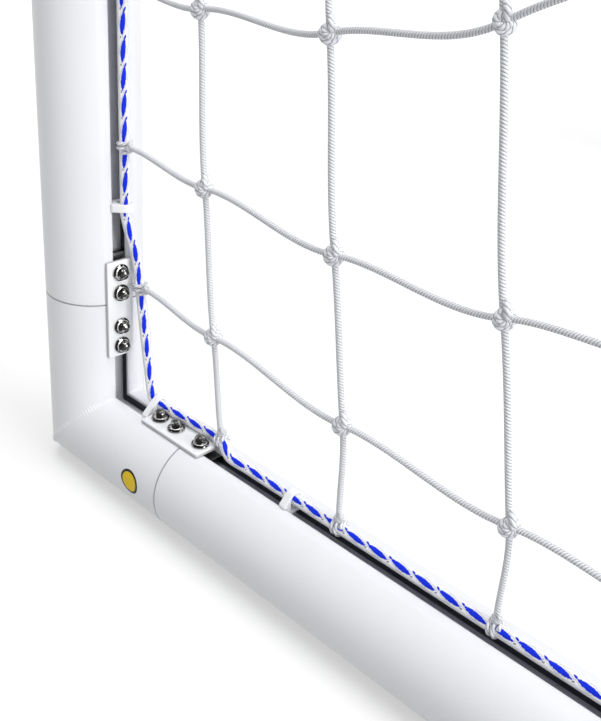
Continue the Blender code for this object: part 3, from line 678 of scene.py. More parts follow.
def mitre_ease(line):
    """The rounding's reach: whole on the round, falling to a tenth at the band and in the groove."""
    u, v = np.abs(line[:, 0]), line[:, 1]
    band_share = np.clip((v - SHARP_FROM) / SHARP_OVER, 0, 1) * (u < SHARP_HALF)
    ease = MITRE_EASE * (1 - (1 - NEARLY_SHARP) * band_share)
    return np.where((u < CAVITY_HALF + 1e-6) & (v > 0), MITRE_EASE * NEARLY_SHARP, ease)


def over_mitre(place, legs, grooves, line, t):
    """(1-t)^2 A + 2t(1-t) M + t^2 B, from leg A over the mitre M to leg B."""
    meet = mitre_w(legs, grooves, line)
    ease = mitre_ease(line)
    start = corner_points(place, legs, grooves, 0, line, meet + ease)
    middle = corner_points(place, legs, grooves, 0, line, meet)
    end = corner_points(place, legs, grooves, 1, line, meet + ease)
    return (1 - t) ** 2 * start + 2 * t * (1 - t) * middle + t**2 * end


def corner_surface(place, legs, grooves, seams):
    """Rim, leg, rounded mitre, leg, rim, and the inner line back."""
    first, second = seams[0] - CLEARANCE / 2, seams[1] - CLEARANCE / 2
    skin = [(0, OUTLINE - inset * OUTWARD, first - step) for inset, step in RIM]
    rows = [corner_points(place, legs, grooves, *one) for one in skin]
    rows += [over_mitre(place, legs, grooves, OUTLINE, t) for t in np.linspace(0, 1, MITRE_ROWS)]
    back = [(1, OUTLINE - inset * OUTWARD, second - step) for inset, step in reversed(RIM)]
    back += [(1, HOLLOW, second), (0, HOLLOW, mitre_w(legs, grooves, HOLLOW)), (0, HOLLOW, first)]
    rows += [corner_points(place, legs, grooves, *one) for one in back]
    return surface(np.array(rows), wrap_rows=True, uv=tube_chart(len(rows), len(RIM) + MITRE_ROWS))


# %% [markdown]
# ## Weld beads
# The torch leaves a low bead with overlapping ripples along each mitre. A bump could hint at it,
# but it shows against the light, so it is a strip of its own, laid over the rounding.

# %% The beads
WELD_STEPS, WELD_ROWS = 560, 13
WELD_GAP = 0.10
WELD_HALF = 0.42
WELD_BOW = 0.9
WELD_PITCH = 0.0021
WELD_HEIGHT, WELD_RIPPLE = 0.00050, 0.00055
WELD_FADE = 0.012
WELD_SINK, END_SINK = 0.00006, 0.0002
WELD_DEPTH = 0.0008


def weld_surface(place, legs, grooves):
    """Bead (1 - s^2)^1.5 (height + ripple |sin(pi (arc / pitch - bow s^2))|), s from -1 to 1 across."""
    edge = math.asin(BAND / TUBE_RADIUS) - WELD_GAP
    turn = np.linspace(edge, -math.pi - edge, WELD_STEPS)
    line = TUBE_RADIUS * circle(turn)
    out = line / TUBE_RADIUS
    first = spot(np.zeros(3), legs[0], grooves[0], out[:, 0], out[:, 1], 0.0)
    second = spot(np.zeros(3), legs[1], grooves[1], -out[:, 0], out[:, 1], 0.0)
    arc = TUBE_RADIUS * (edge - turn)
    fade = np.clip(np.minimum(arc, arc[-1] - arc) / WELD_FADE, 0, 1)
    rows = []
    for s in np.linspace(-1, 1, WELD_ROWS):
        t = 0.5 + WELD_HALF * s
        normal = (1 - t) * first + t * second
        normal = normal / np.linalg.norm(normal, axis=1)[:, None]
        ripple = np.abs(np.sin(np.pi * (arc / WELD_PITCH - WELD_BOW * s * s)))
        raised = (1 - s * s) ** 1.5 * (WELD_HEIGHT + WELD_RIPPLE * ripple) * fade
        bead = raised - WELD_SINK - END_SINK * (1 - fade)
        rows.append(over_mitre(place, legs, grooves, line, t) + bead[:, None] * normal)
    rows = np.array(rows)
    under = rows[::-1] - WELD_DEPTH * np.broadcast_to((first + second) / 2, rows.shape)
    loop = np.concatenate((rows, under[1:-1]))
    loop[..., 2] = np.maximum(loop[..., 2], 0.0)
    return surface(capped(loop.transpose(1, 0, 2)), uv=(0.0, 1.0))


corner_count = 0
for hand, side in HANDS:
    base, head, rear = corner_places(side)
    inward = -side * RIGHT
    corners = (
        ("front_corner", base, (UP, BACK), (BACK, UP), (FRONT_POST_LEG, FRONT_BAR_LEG)),
        ("top_corner", head, (-UP, inward), (BACK, BACK), (FLAT_LEG, FLAT_LEG)),
        ("rear_corner", rear, (-BACK, inward), (UP, UP), (FLAT_LEG, FLAT_LEG)),
    )
    for label, place, legs, grooves, seams in corners:
        name = f"{label}_{hand}"
        shell = corner_surface(place, legs, grooves, seams)
        make_piece(f"{name}_legs", [shell], tube_paint, [name])
        make_piece(f"{name}_weld", [weld_surface(place, legs, grooves)], tube_paint)
        corner_count += 1
print("corners:", corner_count)

# %% [markdown]
# ## Splice plates
# A plate is a strip of painted steel laid over a seam. It could be a box with a Bevel modifier,
# but its round corners in plan and its softer rim want two radii. So its outline is a rectangle
# with quarter circles, and rows of that outline are drawn in where they climb round the rim.
# The stud holes lie under the nuts.


# %% Slabs
CAP_SHARE = 0.9


def rounded_rectangle(half_u, low, high, radius, steps=5):
    """Quarter circles about the four corner centres, joined by straight sides."""
    turn = np.linspace(0, math.pi / 2, steps)
    right, left = half_u - radius, radius - half_u
    top, bottom = high - radius, low + radius
    quarters = []
    for quarter, (u, w) in enumerate(((right, top), (right, bottom), (left, bottom), (left, top))):
        angle = turn + quarter * math.pi / 2
        quarters.append(np.stack((u + radius * np.sin(angle), w + radius * np.cos(angle)), axis=1))
    return np.concatenate(quarters)


def slab(start, along, groove, outline, low, high, rim, shift=0.0, steps=4):
    """The outline drawn in by rim * (1 - sin a) while v climbs by rim * (1 - cos a), and both faces."""
    normal = outward_normals(outline)
    angle = np.linspace(0, math.pi / 2, steps)
    insets = np.concatenate((rim * (1 - np.sin(angle)), rim * (1 - np.cos(angle))))
    heights = np.concatenate((low + rim * (1 - np.cos(angle)), high - rim * (1 - np.sin(angle))))
    rows = []
    for inset, height in zip(insets, heights):
        u, w = (outline - inset * normal).T
        rows.append(spot(start, along, groove, u + shift, height, w))
    rows = np.array(rows)
    ends = rows[[0, -1]]
    centre = ends.mean(axis=1, keepdims=True)
    drawn = centre + (ends - centre) * CAP_SHARE
    grid = np.concatenate((drawn[:1], rows, drawn[1:]))
    side = np.zeros(len(grid))
    side[2 : len(grid) - 3] = 1.0
    side = np.broadcast_to(side[:, None], grid.shape[:2])
    chart = np.pad(np.stack((side, side), axis=-1), ((1, 1), (0, 0), (0, 0)), mode="edge")
    return surface(capped(grid), uv=chart)


print("points in a rounded rectangle:", len(rounded_rectangle(0.01, -0.02, 0.02, 0.001)))

# %% Plates over the seams
PLATE_WIDTH = 0.0232
PLATE_THICKNESS = 0.0030
PLATE_END_MARGIN = 0.0094
PLATE_CORNER = 0.0016
PLATE_RIM = 0.0010
SEAT = BAND + CLEARANCE
PLATE_TOP = SEAT + PLATE_THICKNESS
SPLICE_SHIFT = 0.0025
POST_NUTS = (-0.0353, -0.0190, 0.0088, 0.0254)
BAR_NUTS = (-0.0374, -0.0181, 0.0100)


def outer_side(along, groove, outward):
    """Sign of u that points out of the goal."""
    return 1 if np.cross(groove, along).dot(outward) > 0 else -1


SPLICES = []
for hand, side in HANDS:
    outward = side * RIGHT
    base, head, rear = corner_places(side)
    for label, start, along, groove, seam, nuts, outer in (
        ("front_post", base, UP, BACK, FRONT_POST_LEG, POST_NUTS, outward),
        ("front_bar", base, BACK, UP, FRONT_BAR_LEG, BAR_NUTS, outward),
        ("top_post", head, -UP, BACK, FLAT_LEG, POST_NUTS, outward),
        ("top_bar", head, -outward, BACK, FLAT_LEG, BAR_NUTS, UP),
        ("rear_side", rear, -BACK, UP, FLAT_LEG, BAR_NUTS, outward),
        ("rear_bar", rear, -outward, UP, FLAT_LEG, BAR_NUTS, BACK),
    ):
        shift = SPLICE_SHIFT * outer_side(along, groove, outer)
        SPLICES.append((f"{label}_{hand}", start + seam * along, along, groove, nuts, shift))

for name, place, along, groove, nuts, shift in SPLICES:
    low, high = nuts[0] - PLATE_END_MARGIN, nuts[-1] + PLATE_END_MARGIN
    edge = rounded_rectangle(PLATE_WIDTH / 2, low, high, PLATE_CORNER)
    plate = slab(place, along, groove, edge, SEAT, PLATE_TOP, PLATE_RIM, shift)
    make_piece(f"{name}_cover", [plate], plate_paint, [f"{name}_plate"], 35)
print("plates:", len(SPLICES))

# %% [markdown]
# ## Backing strips and dome nuts
# Under each plate a steel strip sits in the groove with pressed-in studs, and a flanged dome nut
# closes each stud. A nut could be spun with the Screw modifier, but its body has six flats. So
# a profile is turned about the stud as an array, and its radius is shortened where flats lie.


# %% Nuts
NUT_LINE = np.array(
    [
        (0.0030, 0.0, 0), (0.0063, 0.0, 0), (0.0067, 0.0004, 0), (0.0067, 0.0011, 0), (0.0063, 0.0017, 0),
        (0.0054, 0.0020, 0), (0.0048, 0.0023, 0.3), (0.0046, 0.0028, 0.7), (0.0045, 0.0041, 0.7),
        (0.0044, 0.0049, 0.3), (0.0041, 0.0058, 0), (0.0036, 0.0066, 0), (0.0028, 0.0073, 0),
        (0.0017, 0.0078, 0), (0.0007, 0.0080, 0),
    ]
)
FLAT_SWELL = 1.06
NUT_TURN, NUT_RUN = 1.3, 0.01
SLOT_GAP = 0.0009
STRIP_THICKNESS = 0.0040
STRIP_BEFORE, STRIP_AFTER = 0.0085, 0.0135
STRIP_CORNER, STRIP_RIM = 0.0010, 0.0004
FOOT_TOP = CAVITY_TOP - CLEARANCE


def nut_surface(start, along, groove, u, w, turn):
    """Radius r(h) turned about v; on the body r is shortened to a hexagon by 1 / cos."""
    angle = np.linspace(0, 2 * math.pi, 37)[:-1]
    wedge = (angle + turn) % (math.pi / 3) - math.pi / 6
    hexagon = math.cos(math.pi / 6) / np.cos(wedge)
    radius, height, flats = NUT_LINE.T
    spread = radius[:, None] * (1 + flats[:, None] * (hexagon[None] * FLAT_SWELL - 1))
    around = u + spread * np.cos(angle)
    ahead = w + spread * np.sin(angle)
    level = np.broadcast_to(PLATE_TOP + CLEARANCE + height[:, None], spread.shape)
    return surface(capped(spot(start, along, groove, around, level, ahead)))


nut_count = 0
for name, place, along, groove, nuts, shift in SPLICES:
    low, high = nuts[0] - STRIP_BEFORE, nuts[-1] + STRIP_AFTER
    edge = rounded_rectangle(CAVITY_HALF - SLOT_GAP, low, high, STRIP_CORNER)
    strip = slab(place, along, groove, edge, FOOT_TOP - STRIP_THICKNESS, FOOT_TOP, STRIP_RIM)
    turned = [nut_surface(place, along, groove, shift, nut, NUT_TURN * nut / NUT_RUN) for nut in nuts]
    make_piece(f"{name}_fixings", [strip] + turned, steel, [f"{name}_bolts"], 30)
    nut_count += len(nuts)
print("nuts:", nut_count)

# %% [markdown]
# ## Net clips
# A clip is one moulding: a T foot in the groove, a tab on the band and a strap over the rope.
# A strap could be bent along a curve, but the real one is extruded straight, so its outline is
# drawn once and given its 6 mm of width. A Bevel modifier rounds every edge, as a mould does.


# %% Clips
ROPE_RADIUS = 0.0040
ROPE_SIDE = 0.0025
ROPE_REST = SEAT + ROPE_RADIUS
ROPE_OVER = PLATE_TOP + CLEARANCE + ROPE_RADIUS
CLIP_WIDTH = 0.0060
CLIP_EDGE = 0.0005
STRAP = 0.0020
TAB_HALF, TAB_THICKNESS = 0.0080, 0.0022
FOOT_THICKNESS = 0.0026
POST_CLIP_HEIGHT = 0.1940
BAR_CLIP_PLACE = 0.2260
CROSSBAR_CLIP = 0.3
HOOK_SIDE = 0.0065
HOOK_GAP = 0.0005
HOOK_PLACE = FRONT_BAR_LEG + BAR_NUTS[0] - PLATE_END_MARGIN - HOOK_GAP - CLIP_WIDTH / 2


def clip_line(side, height):
    """Foot, neck, tab, a straight run to the half circle over the rope, and back inside it."""
    inner = ROPE_RADIUS + CLEARANCE
    outer = inner + STRAP
    low, half, neck = FOOT_TOP - FOOT_THICKNESS, CAVITY_HALF - SLOT_GAP, MOUTH_HALF - CLEARANCE
    reach = np.array((TAB_HALF + side, SEAT + TAB_THICKNESS - height))
    touch = math.atan2(reach[1], reach[0]) + math.acos(outer / np.linalg.norm(reach))
    centre = np.array((-side, height))
    foot = [(-half, low), (half, low), (half, FOOT_TOP), (neck, FOOT_TOP)]
    tab = [(neck, SEAT), (TAB_HALF, SEAT), (TAB_HALF, SEAT + TAB_THICKNESS)]
    outside = centre + outer * circle(np.linspace(touch, math.pi, 14))
    ends = [(-side - outer, SEAT), (-side - inner, SEAT)]
    inside = centre + inner * circle(np.linspace(0, math.pi, 17))[::-1]
    close = [(-side + inner, FOOT_TOP), (-half, FOOT_TOP)]
    return np.concatenate((foot, tab, outside, ends, inside, close))


def clip_piece(name, start, along, groove, outward, side, height):
    """The outline at w of minus and plus half the width, with a flat face on each."""
    out = outer_side(along, groove, outward)
    line = clip_line(side, height) * (out, 1)
    rows = np.array([spot(start, along, groove, *line.T, w) for w in (-CLIP_WIDTH / 2, CLIP_WIDTH / 2)])
    count = len(line)
    ring = np.arange(count)
    walls = np.stack((ring, np.roll(ring, -1), np.roll(ring, -1) + count, ring + count), axis=1)
    faces = walls.tolist() + [ring[::-1].tolist(), (ring + count).tolist()]
    made = mesh_object(f"{name}_moulding", rows.reshape(-1, 3), faces, nylon)
    settle(made, [name], 35)
    soft = made.modifiers.new("rounding", "BEVEL")
    soft.width = CLIP_EDGE
    soft.segments = 3
    soft.limit_method = "ANGLE"
    soft.angle_limit = math.radians(30)


for hand, side in HANDS:
    base = corner_places(side)[0]
    outward, across = side * RIGHT, side * CROSSBAR_CLIP * RIGHT
    clip_piece(f"clip_post_{hand}", base + POST_CLIP_HEIGHT * UP, UP, BACK, outward, ROPE_SIDE, ROPE_REST)
    clip_piece(f"clip_hook_{hand}", base + HOOK_PLACE * BACK, BACK, UP, outward, HOOK_SIDE, ROPE_OVER)
    clip_piece(f"clip_bar_{hand}", base + BAR_CLIP_PLACE * BACK, BACK, UP, outward, ROPE_SIDE, ROPE_REST)
    clip_piece(f"clip_crossbar_{hand}", TOP_MIDDLE + across, RIGHT, BACK, UP, ROPE_SIDE, ROPE_REST)
    clip_piece(f"clip_rear_bar_{hand}", TAIL_MIDDLE + across, RIGHT, UP, BACK, ROPE_SIDE, ROPE_REST)
print("clips:", 5 * len(HANDS))

# %% [markdown]
# ## The rope's route
# The rope lies in line with the groove, climbs over each splice plate beside the nuts, turns in
# the corners, and at the front corner runs straight from the post plate to the hook clip. A
# Bezier curve with hand-set handles could follow it, but the stations below are the CAD rope's
# own, so that the two ropes lie in one place. A Hermite curve joins them smoothly.

# %% Stations
ROPE_BEND = 0.0120
HOOK_BEND = 0.0060
LAY_DOWN = 0.0180
PASS_SIDE = 0.0065 - SPLICE_SHIFT + ROPE_RADIUS + CLEARANCE


def splice_stations(seam, nuts):
    """(w, side, height) past a plate: up beside the nuts and down again."""
    near = seam + nuts[0] - PLATE_END_MARGIN
    far = seam + nuts[-1] + PLATE_END_MARGIN
    return np.array(
        [
            (near - ROPE_RADIUS / 2, PASS_SIDE, ROPE_OVER),
            ((near + far) / 2, PASS_SIDE, ROPE_OVER),
            (far + ROPE_RADIUS / 2, PASS_SIDE, ROPE_OVER),
            (far + LAY_DOWN, ROPE_SIDE, ROPE_REST),
            (far + 2 * LAY_DOWN, ROPE_SIDE, ROPE_REST),
        ]
    )


def stationed(start, along, groove, inward, stations):
    """Start + w along + height out of the groove + side towards the middle of the goal."""
    w, side, height = (stations[:, index, None] for index in range(3))
    return start + w * along + height * groove + side * inward


def bend(inner, first, second):
    """Three points round an inner corner: along one leg, on the 45 degree line, along the other."""
    middle = ROPE_BEND * (1 - math.sqrt(0.5)) * (first + second)
    return np.array([inner + ROPE_BEND * first, inner + middle, inner + ROPE_BEND * second])


def half_route():
    """The route on the +X half, from the crossbar's middle to the rear bar's."""
    base, head, tail = corner_places(1)
    flat = splice_stations(FLAT_LEG, BAR_NUTS)
    high = splice_stations(FLAT_LEG, POST_NUTS)
    bar = splice_stations(FRONT_BAR_LEG, BAR_NUTS)
    heights = (POST_HEIGHT / 2, POST_CLIP_HEIGHT + CLIP_WIDTH, POST_CLIP_HEIGHT - CLIP_WIDTH)
    post = [(height, ROPE_SIDE, ROPE_REST) for height in heights]
    post += [(FRONT_POST_LEG + POST_NUTS[-1] + PLATE_END_MARGIN, PASS_SIDE + ROPE_BEND / 10, ROPE_OVER)]
    hook = HOOK_PLACE - CLIP_WIDTH / 2 - CLEARANCE
    lean = HOOK_BEND * math.sqrt(0.5)
    turn = [(hook - HOOK_BEND, HOOK_SIDE, ROPE_OVER + HOOK_BEND)]
    turn += [(hook - lean, HOOK_SIDE, ROPE_OVER + HOOK_BEND - lean)]
    turn += [(hook, HOOK_SIDE, ROPE_OVER), (hook + CLIP_WIDTH, HOOK_SIDE, ROPE_OVER)]
    low = [(BAR_CLIP_PLACE, ROPE_SIDE, ROPE_REST), (BASE_DEPTH / 2, ROPE_SIDE, ROPE_REST)]
    top_bend = head - PASS_SIDE * RIGHT - PASS_SIDE * UP + ROPE_OVER * BACK
    rear_bend = tail - PASS_SIDE * RIGHT - PASS_SIDE * BACK + ROPE_OVER * UP
    return np.concatenate(
        [
            [FRONT_Y * BACK + ROPE_REST * BACK + (TOP_Z - ROPE_SIDE) * UP],
            stationed(head, -RIGHT, BACK, -UP, flat[::-1]),
            bend(top_bend, -RIGHT, -UP),
            stationed(head, -UP, BACK, -RIGHT, high),
            stationed(base, UP, BACK, -RIGHT, np.array(post)),
            stationed(base, BACK, UP, -RIGHT, np.array(turn)),
            stationed(base, BACK, UP, -RIGHT, bar[1:]),
            stationed(base, BACK, UP, -RIGHT, np.array(low)),
            stationed(tail, -BACK, UP, -RIGHT, flat[::-1]),
            bend(rear_bend, -BACK, -RIGHT),
            stationed(tail, -RIGHT, UP, -BACK, flat),
            [(REAR_Y - ROPE_SIDE) * BACK + (GROUND_Z + ROPE_REST) * UP],
        ]
    )


right_half = half_route()
print("stations on one half:", len(right_half))

# %% The smooth path
ROPE_EASE = 0.0200
ROPE_STEP = 0.0015


def hermite(p, q, m, n, steps):
    """p (2t^3 - 3t^2 + 1) + m (t^3 - 2t^2 + t) + q (3t^2 - 2t^3) + n (t^3 - t^2), p to q a span."""
    t = np.linspace(0, 1, steps, endpoint=False)[None, :, None]
    p, q, m, n = (part[:, None] for part in (p, q, m, n))
    curve = p * (2 * t**3 - 3 * t**2 + 1) + m * (t**3 - 2 * t**2 + t)
    return (curve + q * (3 * t**2 - 2 * t**3) + n * (t**3 - t**2)).reshape(-1, 3)


def smooth_ring(points):
    """A closed Hermite curve; the pull at a point is the mean direction of its two spans."""
    ahead = np.roll(points, -1, axis=0) - points
    span = np.linalg.norm(ahead, axis=1)[:, None]
    heading = ahead / span
    mean = heading + np.roll(heading, 1, axis=0)
    pull = np.minimum(span, ROPE_EASE) / 2
    return hermite(points, np.roll(points, -1, axis=0), mean * pull, np.roll(mean, -1, axis=0) * pull, 16)


def evenly(path, step, closed=False):
    """The path cut again into equal steps, by interpolation on its length so far."""
    if closed:
        path = np.concatenate((path, path[:1]))
    run = np.concatenate(([0], np.cumsum(np.linalg.norm(np.diff(path, axis=0), axis=1))))
    count = max(int(round(run[-1] / step)), 2)
    places = np.linspace(0, run[-1], count + 1)[: count if closed else None]
    return np.stack([np.interp(places, run, path[:, axis]) for axis in range(3)], axis=1), run[-1]


left_half = right_half[-2:0:-1] * (-1, 1, 1)
rope_path, rope_length = evenly(smooth_ring(np.concatenate((right_half, left_half))), ROPE_STEP, True)
print("rope:", round(rope_length, 3), "m,", len(rope_path), "rings")

# %% [markdown]
# ## Carrying a ring along a path
# A rope is round wherever it is cut. Blender can bevel a curve, but then the ring may twist and
# take the braid's pattern with it. Here a ring of points is carried along the path. It stands
# square to the path, turned by a reference direction that is never in line with it. For the
# laced rope that is the direction of a far point outside the goal, one for each half.

# %% Carried rings
PLAIT = 0.0188
ROPE_SIDES = 16
OUTSIDE = (1.05, 0.17, 0.49)


def carried(path, radius, sides, reference, closed=False):
    """path + radius * (cos a * N + sin a * B), N the reference less its share along the path."""
    if closed:
        tangent = np.roll(path, -1, axis=0) - np.roll(path, 1, axis=0)
    else:
        tangent = np.gradient(path, axis=0)
    tangent /= np.linalg.norm(tangent, axis=1)[:, None]
    reference = np.broadcast_to(reference, path.shape)
    normal = reference - (reference * tangent).sum(axis=1)[:, None] * tangent
    normal /= np.linalg.norm(normal, axis=1)[:, None]
    other = np.cross(tangent, normal)
    angle = 2 * math.pi * np.arange(sides) / sides
    ring = np.cos(angle)[:, None] * normal[:, None] + np.sin(angle)[:, None] * other[:, None]
    return path[:, None] + radius * ring


side_of = np.where(rope_path[:, :1] < 0, -1, 1)
outside = side_of * OUTSIDE[0] * RIGHT + OUTSIDE[1] * BACK + OUTSIDE[2] * UP
rope_rings = carried(rope_path, ROPE_RADIUS, ROPE_SIDES, outside - rope_path, True)
rope_surface = surface(rope_rings, wrap_rows=True, uv=(1.0, float(round(rope_length / PLAIT))))
make_piece("perimeter_rope", [rope_surface], rope_braid, ["rope"], 180)
print("points in the rope:", rope_rings[..., 0].size)


# %% Slope ropes
def slope_ends():
    """Both ends of a slope rope, as (y, z) from the lower front corner."""
    start = ROPE_OVER + ROPE_RADIUS + CLEARANCE
    drop = PASS_SIDE + ROPE_RADIUS
    rise = POST_HEIGHT - drop - start
    run = BASE_DEPTH - drop - start
    long = math.hypot(rise, run)
    near = np.array((start + ROPE_RADIUS * rise / long, POST_HEIGHT - drop))
    far = np.array((BASE_DEPTH - drop, start + ROPE_RADIUS * run / long))
    return near, far


NEAR, FAR = slope_ends()
for hand, side in HANDS:
    ends = np.array([(side * (POST_X - ROPE_SIDE), FRONT_Y + y, GROUND_Z + z) for y, z in (NEAR, FAR)])
    path, length = evenly(ends, ROPE_STEP)
    rings = capped(carried(path, ROPE_RADIUS, ROPE_SIDES, -side * RIGHT))
    slope = surface(rings, uv=(1.0, length / PLAIT))
    make_piece(f"slope_rope_{hand}_braid", [slope], rope_braid, [f"slope_rope_{hand}"], 180)
print("ropes:", 1 + len(HANDS))

# %% [markdown]
# ## The net
# The net is tied from 4 mm twisted cord in meshes of about 120 mm. It could be hung by a cloth
# simulation, but the real one is pulled tight, and curves keep each knot in its place. Each cord
# is one smooth curve through its knots. The knots turn a little as they tighten, so a cord
# leaves each of them rising and sags before the next one. A knot is a trefoil drawn tight. At
# the border the cord is wrapped round the rope, and a smaller knot closes the wrap.

# %% Cords
CORD_RADIUS, CORD_SIDES = 0.0020, 8
CORD_STEP = 0.0030
LAY = 0.0056
KNOT_TILT = math.radians(11)


def cord_curve(knots, tilt_axis, tilt):
    """A Hermite curve through the knots; each pull is the mean chord turned by tilt about the axis."""
    chord = np.diff(knots, axis=0)
    span = np.linalg.norm(chord, axis=1)[:, None]
    mean = np.concatenate((chord[:1], chord[:-1] + chord[1:], chord[-1:]))
    mean /= np.linalg.norm(mean, axis=1)[:, None]
    turned = mean * math.cos(tilt) + np.cross(tilt_axis, mean) * math.sin(tilt)
    curve = hermite(knots[:-1], knots[1:], turned[:-1] * span, turned[1:] * span, 20)
    return np.concatenate((curve, knots[-1:]))


def cord_surface(knots, axis, tilt):
    """A round cord through the knots, its UV counting the turns of the lay."""
    even, length = evenly(cord_curve(knots, axis, tilt), CORD_STEP)
    return surface(capped(carried(even, CORD_RADIUS, CORD_SIDES, axis)), uv=(1.0, length / LAY))


print("turns of the lay in a metre:", round(1 / LAY))

# %% Knots and wraps
KNOT_SIDES = 7
LOOP_REACH, LOOP_SWING, LOOP_DEPTH, LOOP_CORD = 0.0036, 0.0013, 0.0016, 0.0023
STRAND_TOP, STRAND_RUN, STRAND_RISE, STRAND_LEAN = 0.0095, 0.0115, 0.0052, 0.0006
STRAND_CORD = 0.0021
WRAP_REACH = ROPE_RADIUS + 0.0006
WRAP_PITCH, WRAP_CORD = 0.0033, 0.0014
WRAP_SPARE = 0.15
BORDER_GAP, BORDER_SIZE = 0.0070, 0.55


def knot_surfaces(centre, up, out, turn, size=1.0):
    """A loop of radius reach + swing cos t at the angle 2t, and a strand rising by rise sin(pi s)."""
    out = out / np.linalg.norm(out)
    across = np.cross(up, out)
    across /= np.linalg.norm(across)
    top = np.cross(out, across)
    t = 2 * math.pi * np.arange(26)[:, None] / 26
    reach = LOOP_REACH + LOOP_SWING * np.cos(t)
    loop = reach * (np.cos(2 * t + turn) * across + np.sin(2 * t + turn) * top)
    loop = centre + size * (loop + (LOOP_DEPTH - LOOP_DEPTH * np.cos(t)) * out)
    s = np.linspace(0, 1, 7)[:, None]
    strand = (STRAND_TOP - STRAND_RUN * s) * up + STRAND_RISE * np.sin(math.pi * s) * out
    strand = centre + size * (strand + STRAND_LEAN * s * across)
    return [
        surface(carried(loop, size * LOOP_CORD, KNOT_SIDES, out, True), wrap_rows=True, uv=(1.0, 6.0)),
        surface(capped(carried(strand, size * STRAND_CORD, KNOT_SIDES, across)), uv=(1.0, 2.0)),
    ]


def wrap_surface(centre, rope_way, net_way):
    """Two turns of cord drawn tight round the rope: a helix a little wider than the rope."""
    other = np.cross(rope_way, net_way)
    t = np.linspace(-WRAP_SPARE, 2 + WRAP_SPARE, 34) * 2 * math.pi
    along = WRAP_PITCH * (t / (2 * math.pi) - 1)
    ring = np.cos(t)[:, None] * net_way + np.sin(t)[:, None] * other
    path = centre + WRAP_REACH * ring + along[:, None] * rope_way
    return surface(capped(carried(path, WRAP_CORD, KNOT_SIDES, rope_way)), uv=(1.0, 6.0))


def tied(centre, rope_way, net_way, up, out, turn):
    """A wrap round the rope, and the small knot that closes it a little way into the net."""
    knot = knot_surfaces(centre + BORDER_GAP * net_way, up, out, turn, BORDER_SIZE)
    return [wrap_surface(centre, rope_way, net_way), *knot]


print("points in a knot:", sum(len(part[0]) for part in knot_surfaces(np.zeros(3), UP, BACK, 0)))

# %% [markdown]
# ## Side nets
# A side net is a triangle between the post, the ground bar and the slope rope. Its knots could
# be set one by one, but a rule places them all: even steps along the post and the bar, and
# powers between them. The powers and the lean of the inner knots were fitted to the six knots
# that the photograph shows. A knot on a rope takes the rope's own place.


# %% Places of the knots
MESHES = 7
POST_FIRST_KNOT = 0.1300
BAR_FIRST_KNOT = 0.1450
SLOPE_POWER = 1.30
HEIGHT_POWER, HEIGHT_GAIN = 1.045, 0.125
LEAN, LEAN_ALONG, LEAN_UP = 0.0023, 0.0041, -0.0075
SLOPE_WAY = np.array((0.0, *(FAR - NEAR) / np.linalg.norm(FAR - NEAR)))
SLOPE_OUT = np.cross(RIGHT, SLOPE_WAY)
RIGHT_ROPE = rope_path[rope_path[:, 0] > POST_X - 0.02]


def rope_edges():
    """The post part and the bar part of the right-hand rope, as (y, z) from the corner."""
    local = RIGHT_ROPE[:, 1:] - (FRONT_Y, GROUND_Z)
    post = local[(local[:, 1] > ROPE_OVER + HOOK_BEND) & (local[:, 0] < BASE_DEPTH / 4)]
    bar = local[local[:, 1] < ROPE_OVER + HOOK_BEND / 2]
    return post[np.argsort(post[:, 1])], bar[np.argsort(bar[:, 0])]


POST_EDGE, BAR_EDGE = rope_edges()


def side_knot(i, j):
    """Place (y, z) of knot i along the bar and j up the post."""
    last = MESHES
    if i == 0:
        rise = POST_FIRST_KNOT + (NEAR[1] - POST_FIRST_KNOT) * (j - 1) / (last - 1)
        return np.array((np.interp(rise, POST_EDGE[:, 1], POST_EDGE[:, 0]), rise))
    foot_y = BAR_FIRST_KNOT + (FAR[0] - BAR_FIRST_KNOT) / (last - 1) * (i - 1)
    foot = np.array((foot_y, np.interp(foot_y, BAR_EDGE[:, 0], BAR_EDGE[:, 1])))
    top = NEAR + (FAR - NEAR) * (i / last) ** SLOPE_POWER
    height = min(j / max(last - i, 1), 1) ** (HEIGHT_POWER + HEIGHT_GAIN * i)
    free = np.clip((6 - i) / 3, 0, 1) * np.clip((5 - j) / 3, 0, 1) * (0 < j < last - i)
    lean = free * (LEAN + LEAN_ALONG * i + LEAN_UP * j)
    return foot + (top - foot) * height + (lean, 0.0)


print("first inner knot (y, z):", side_knot(1, 1).round(3))

# %% Side nets
SIDE_COLUMN_TILT = 0.35 * KNOT_TILT
TURN_ALONG, TURN_UP = 1.3, 0.8


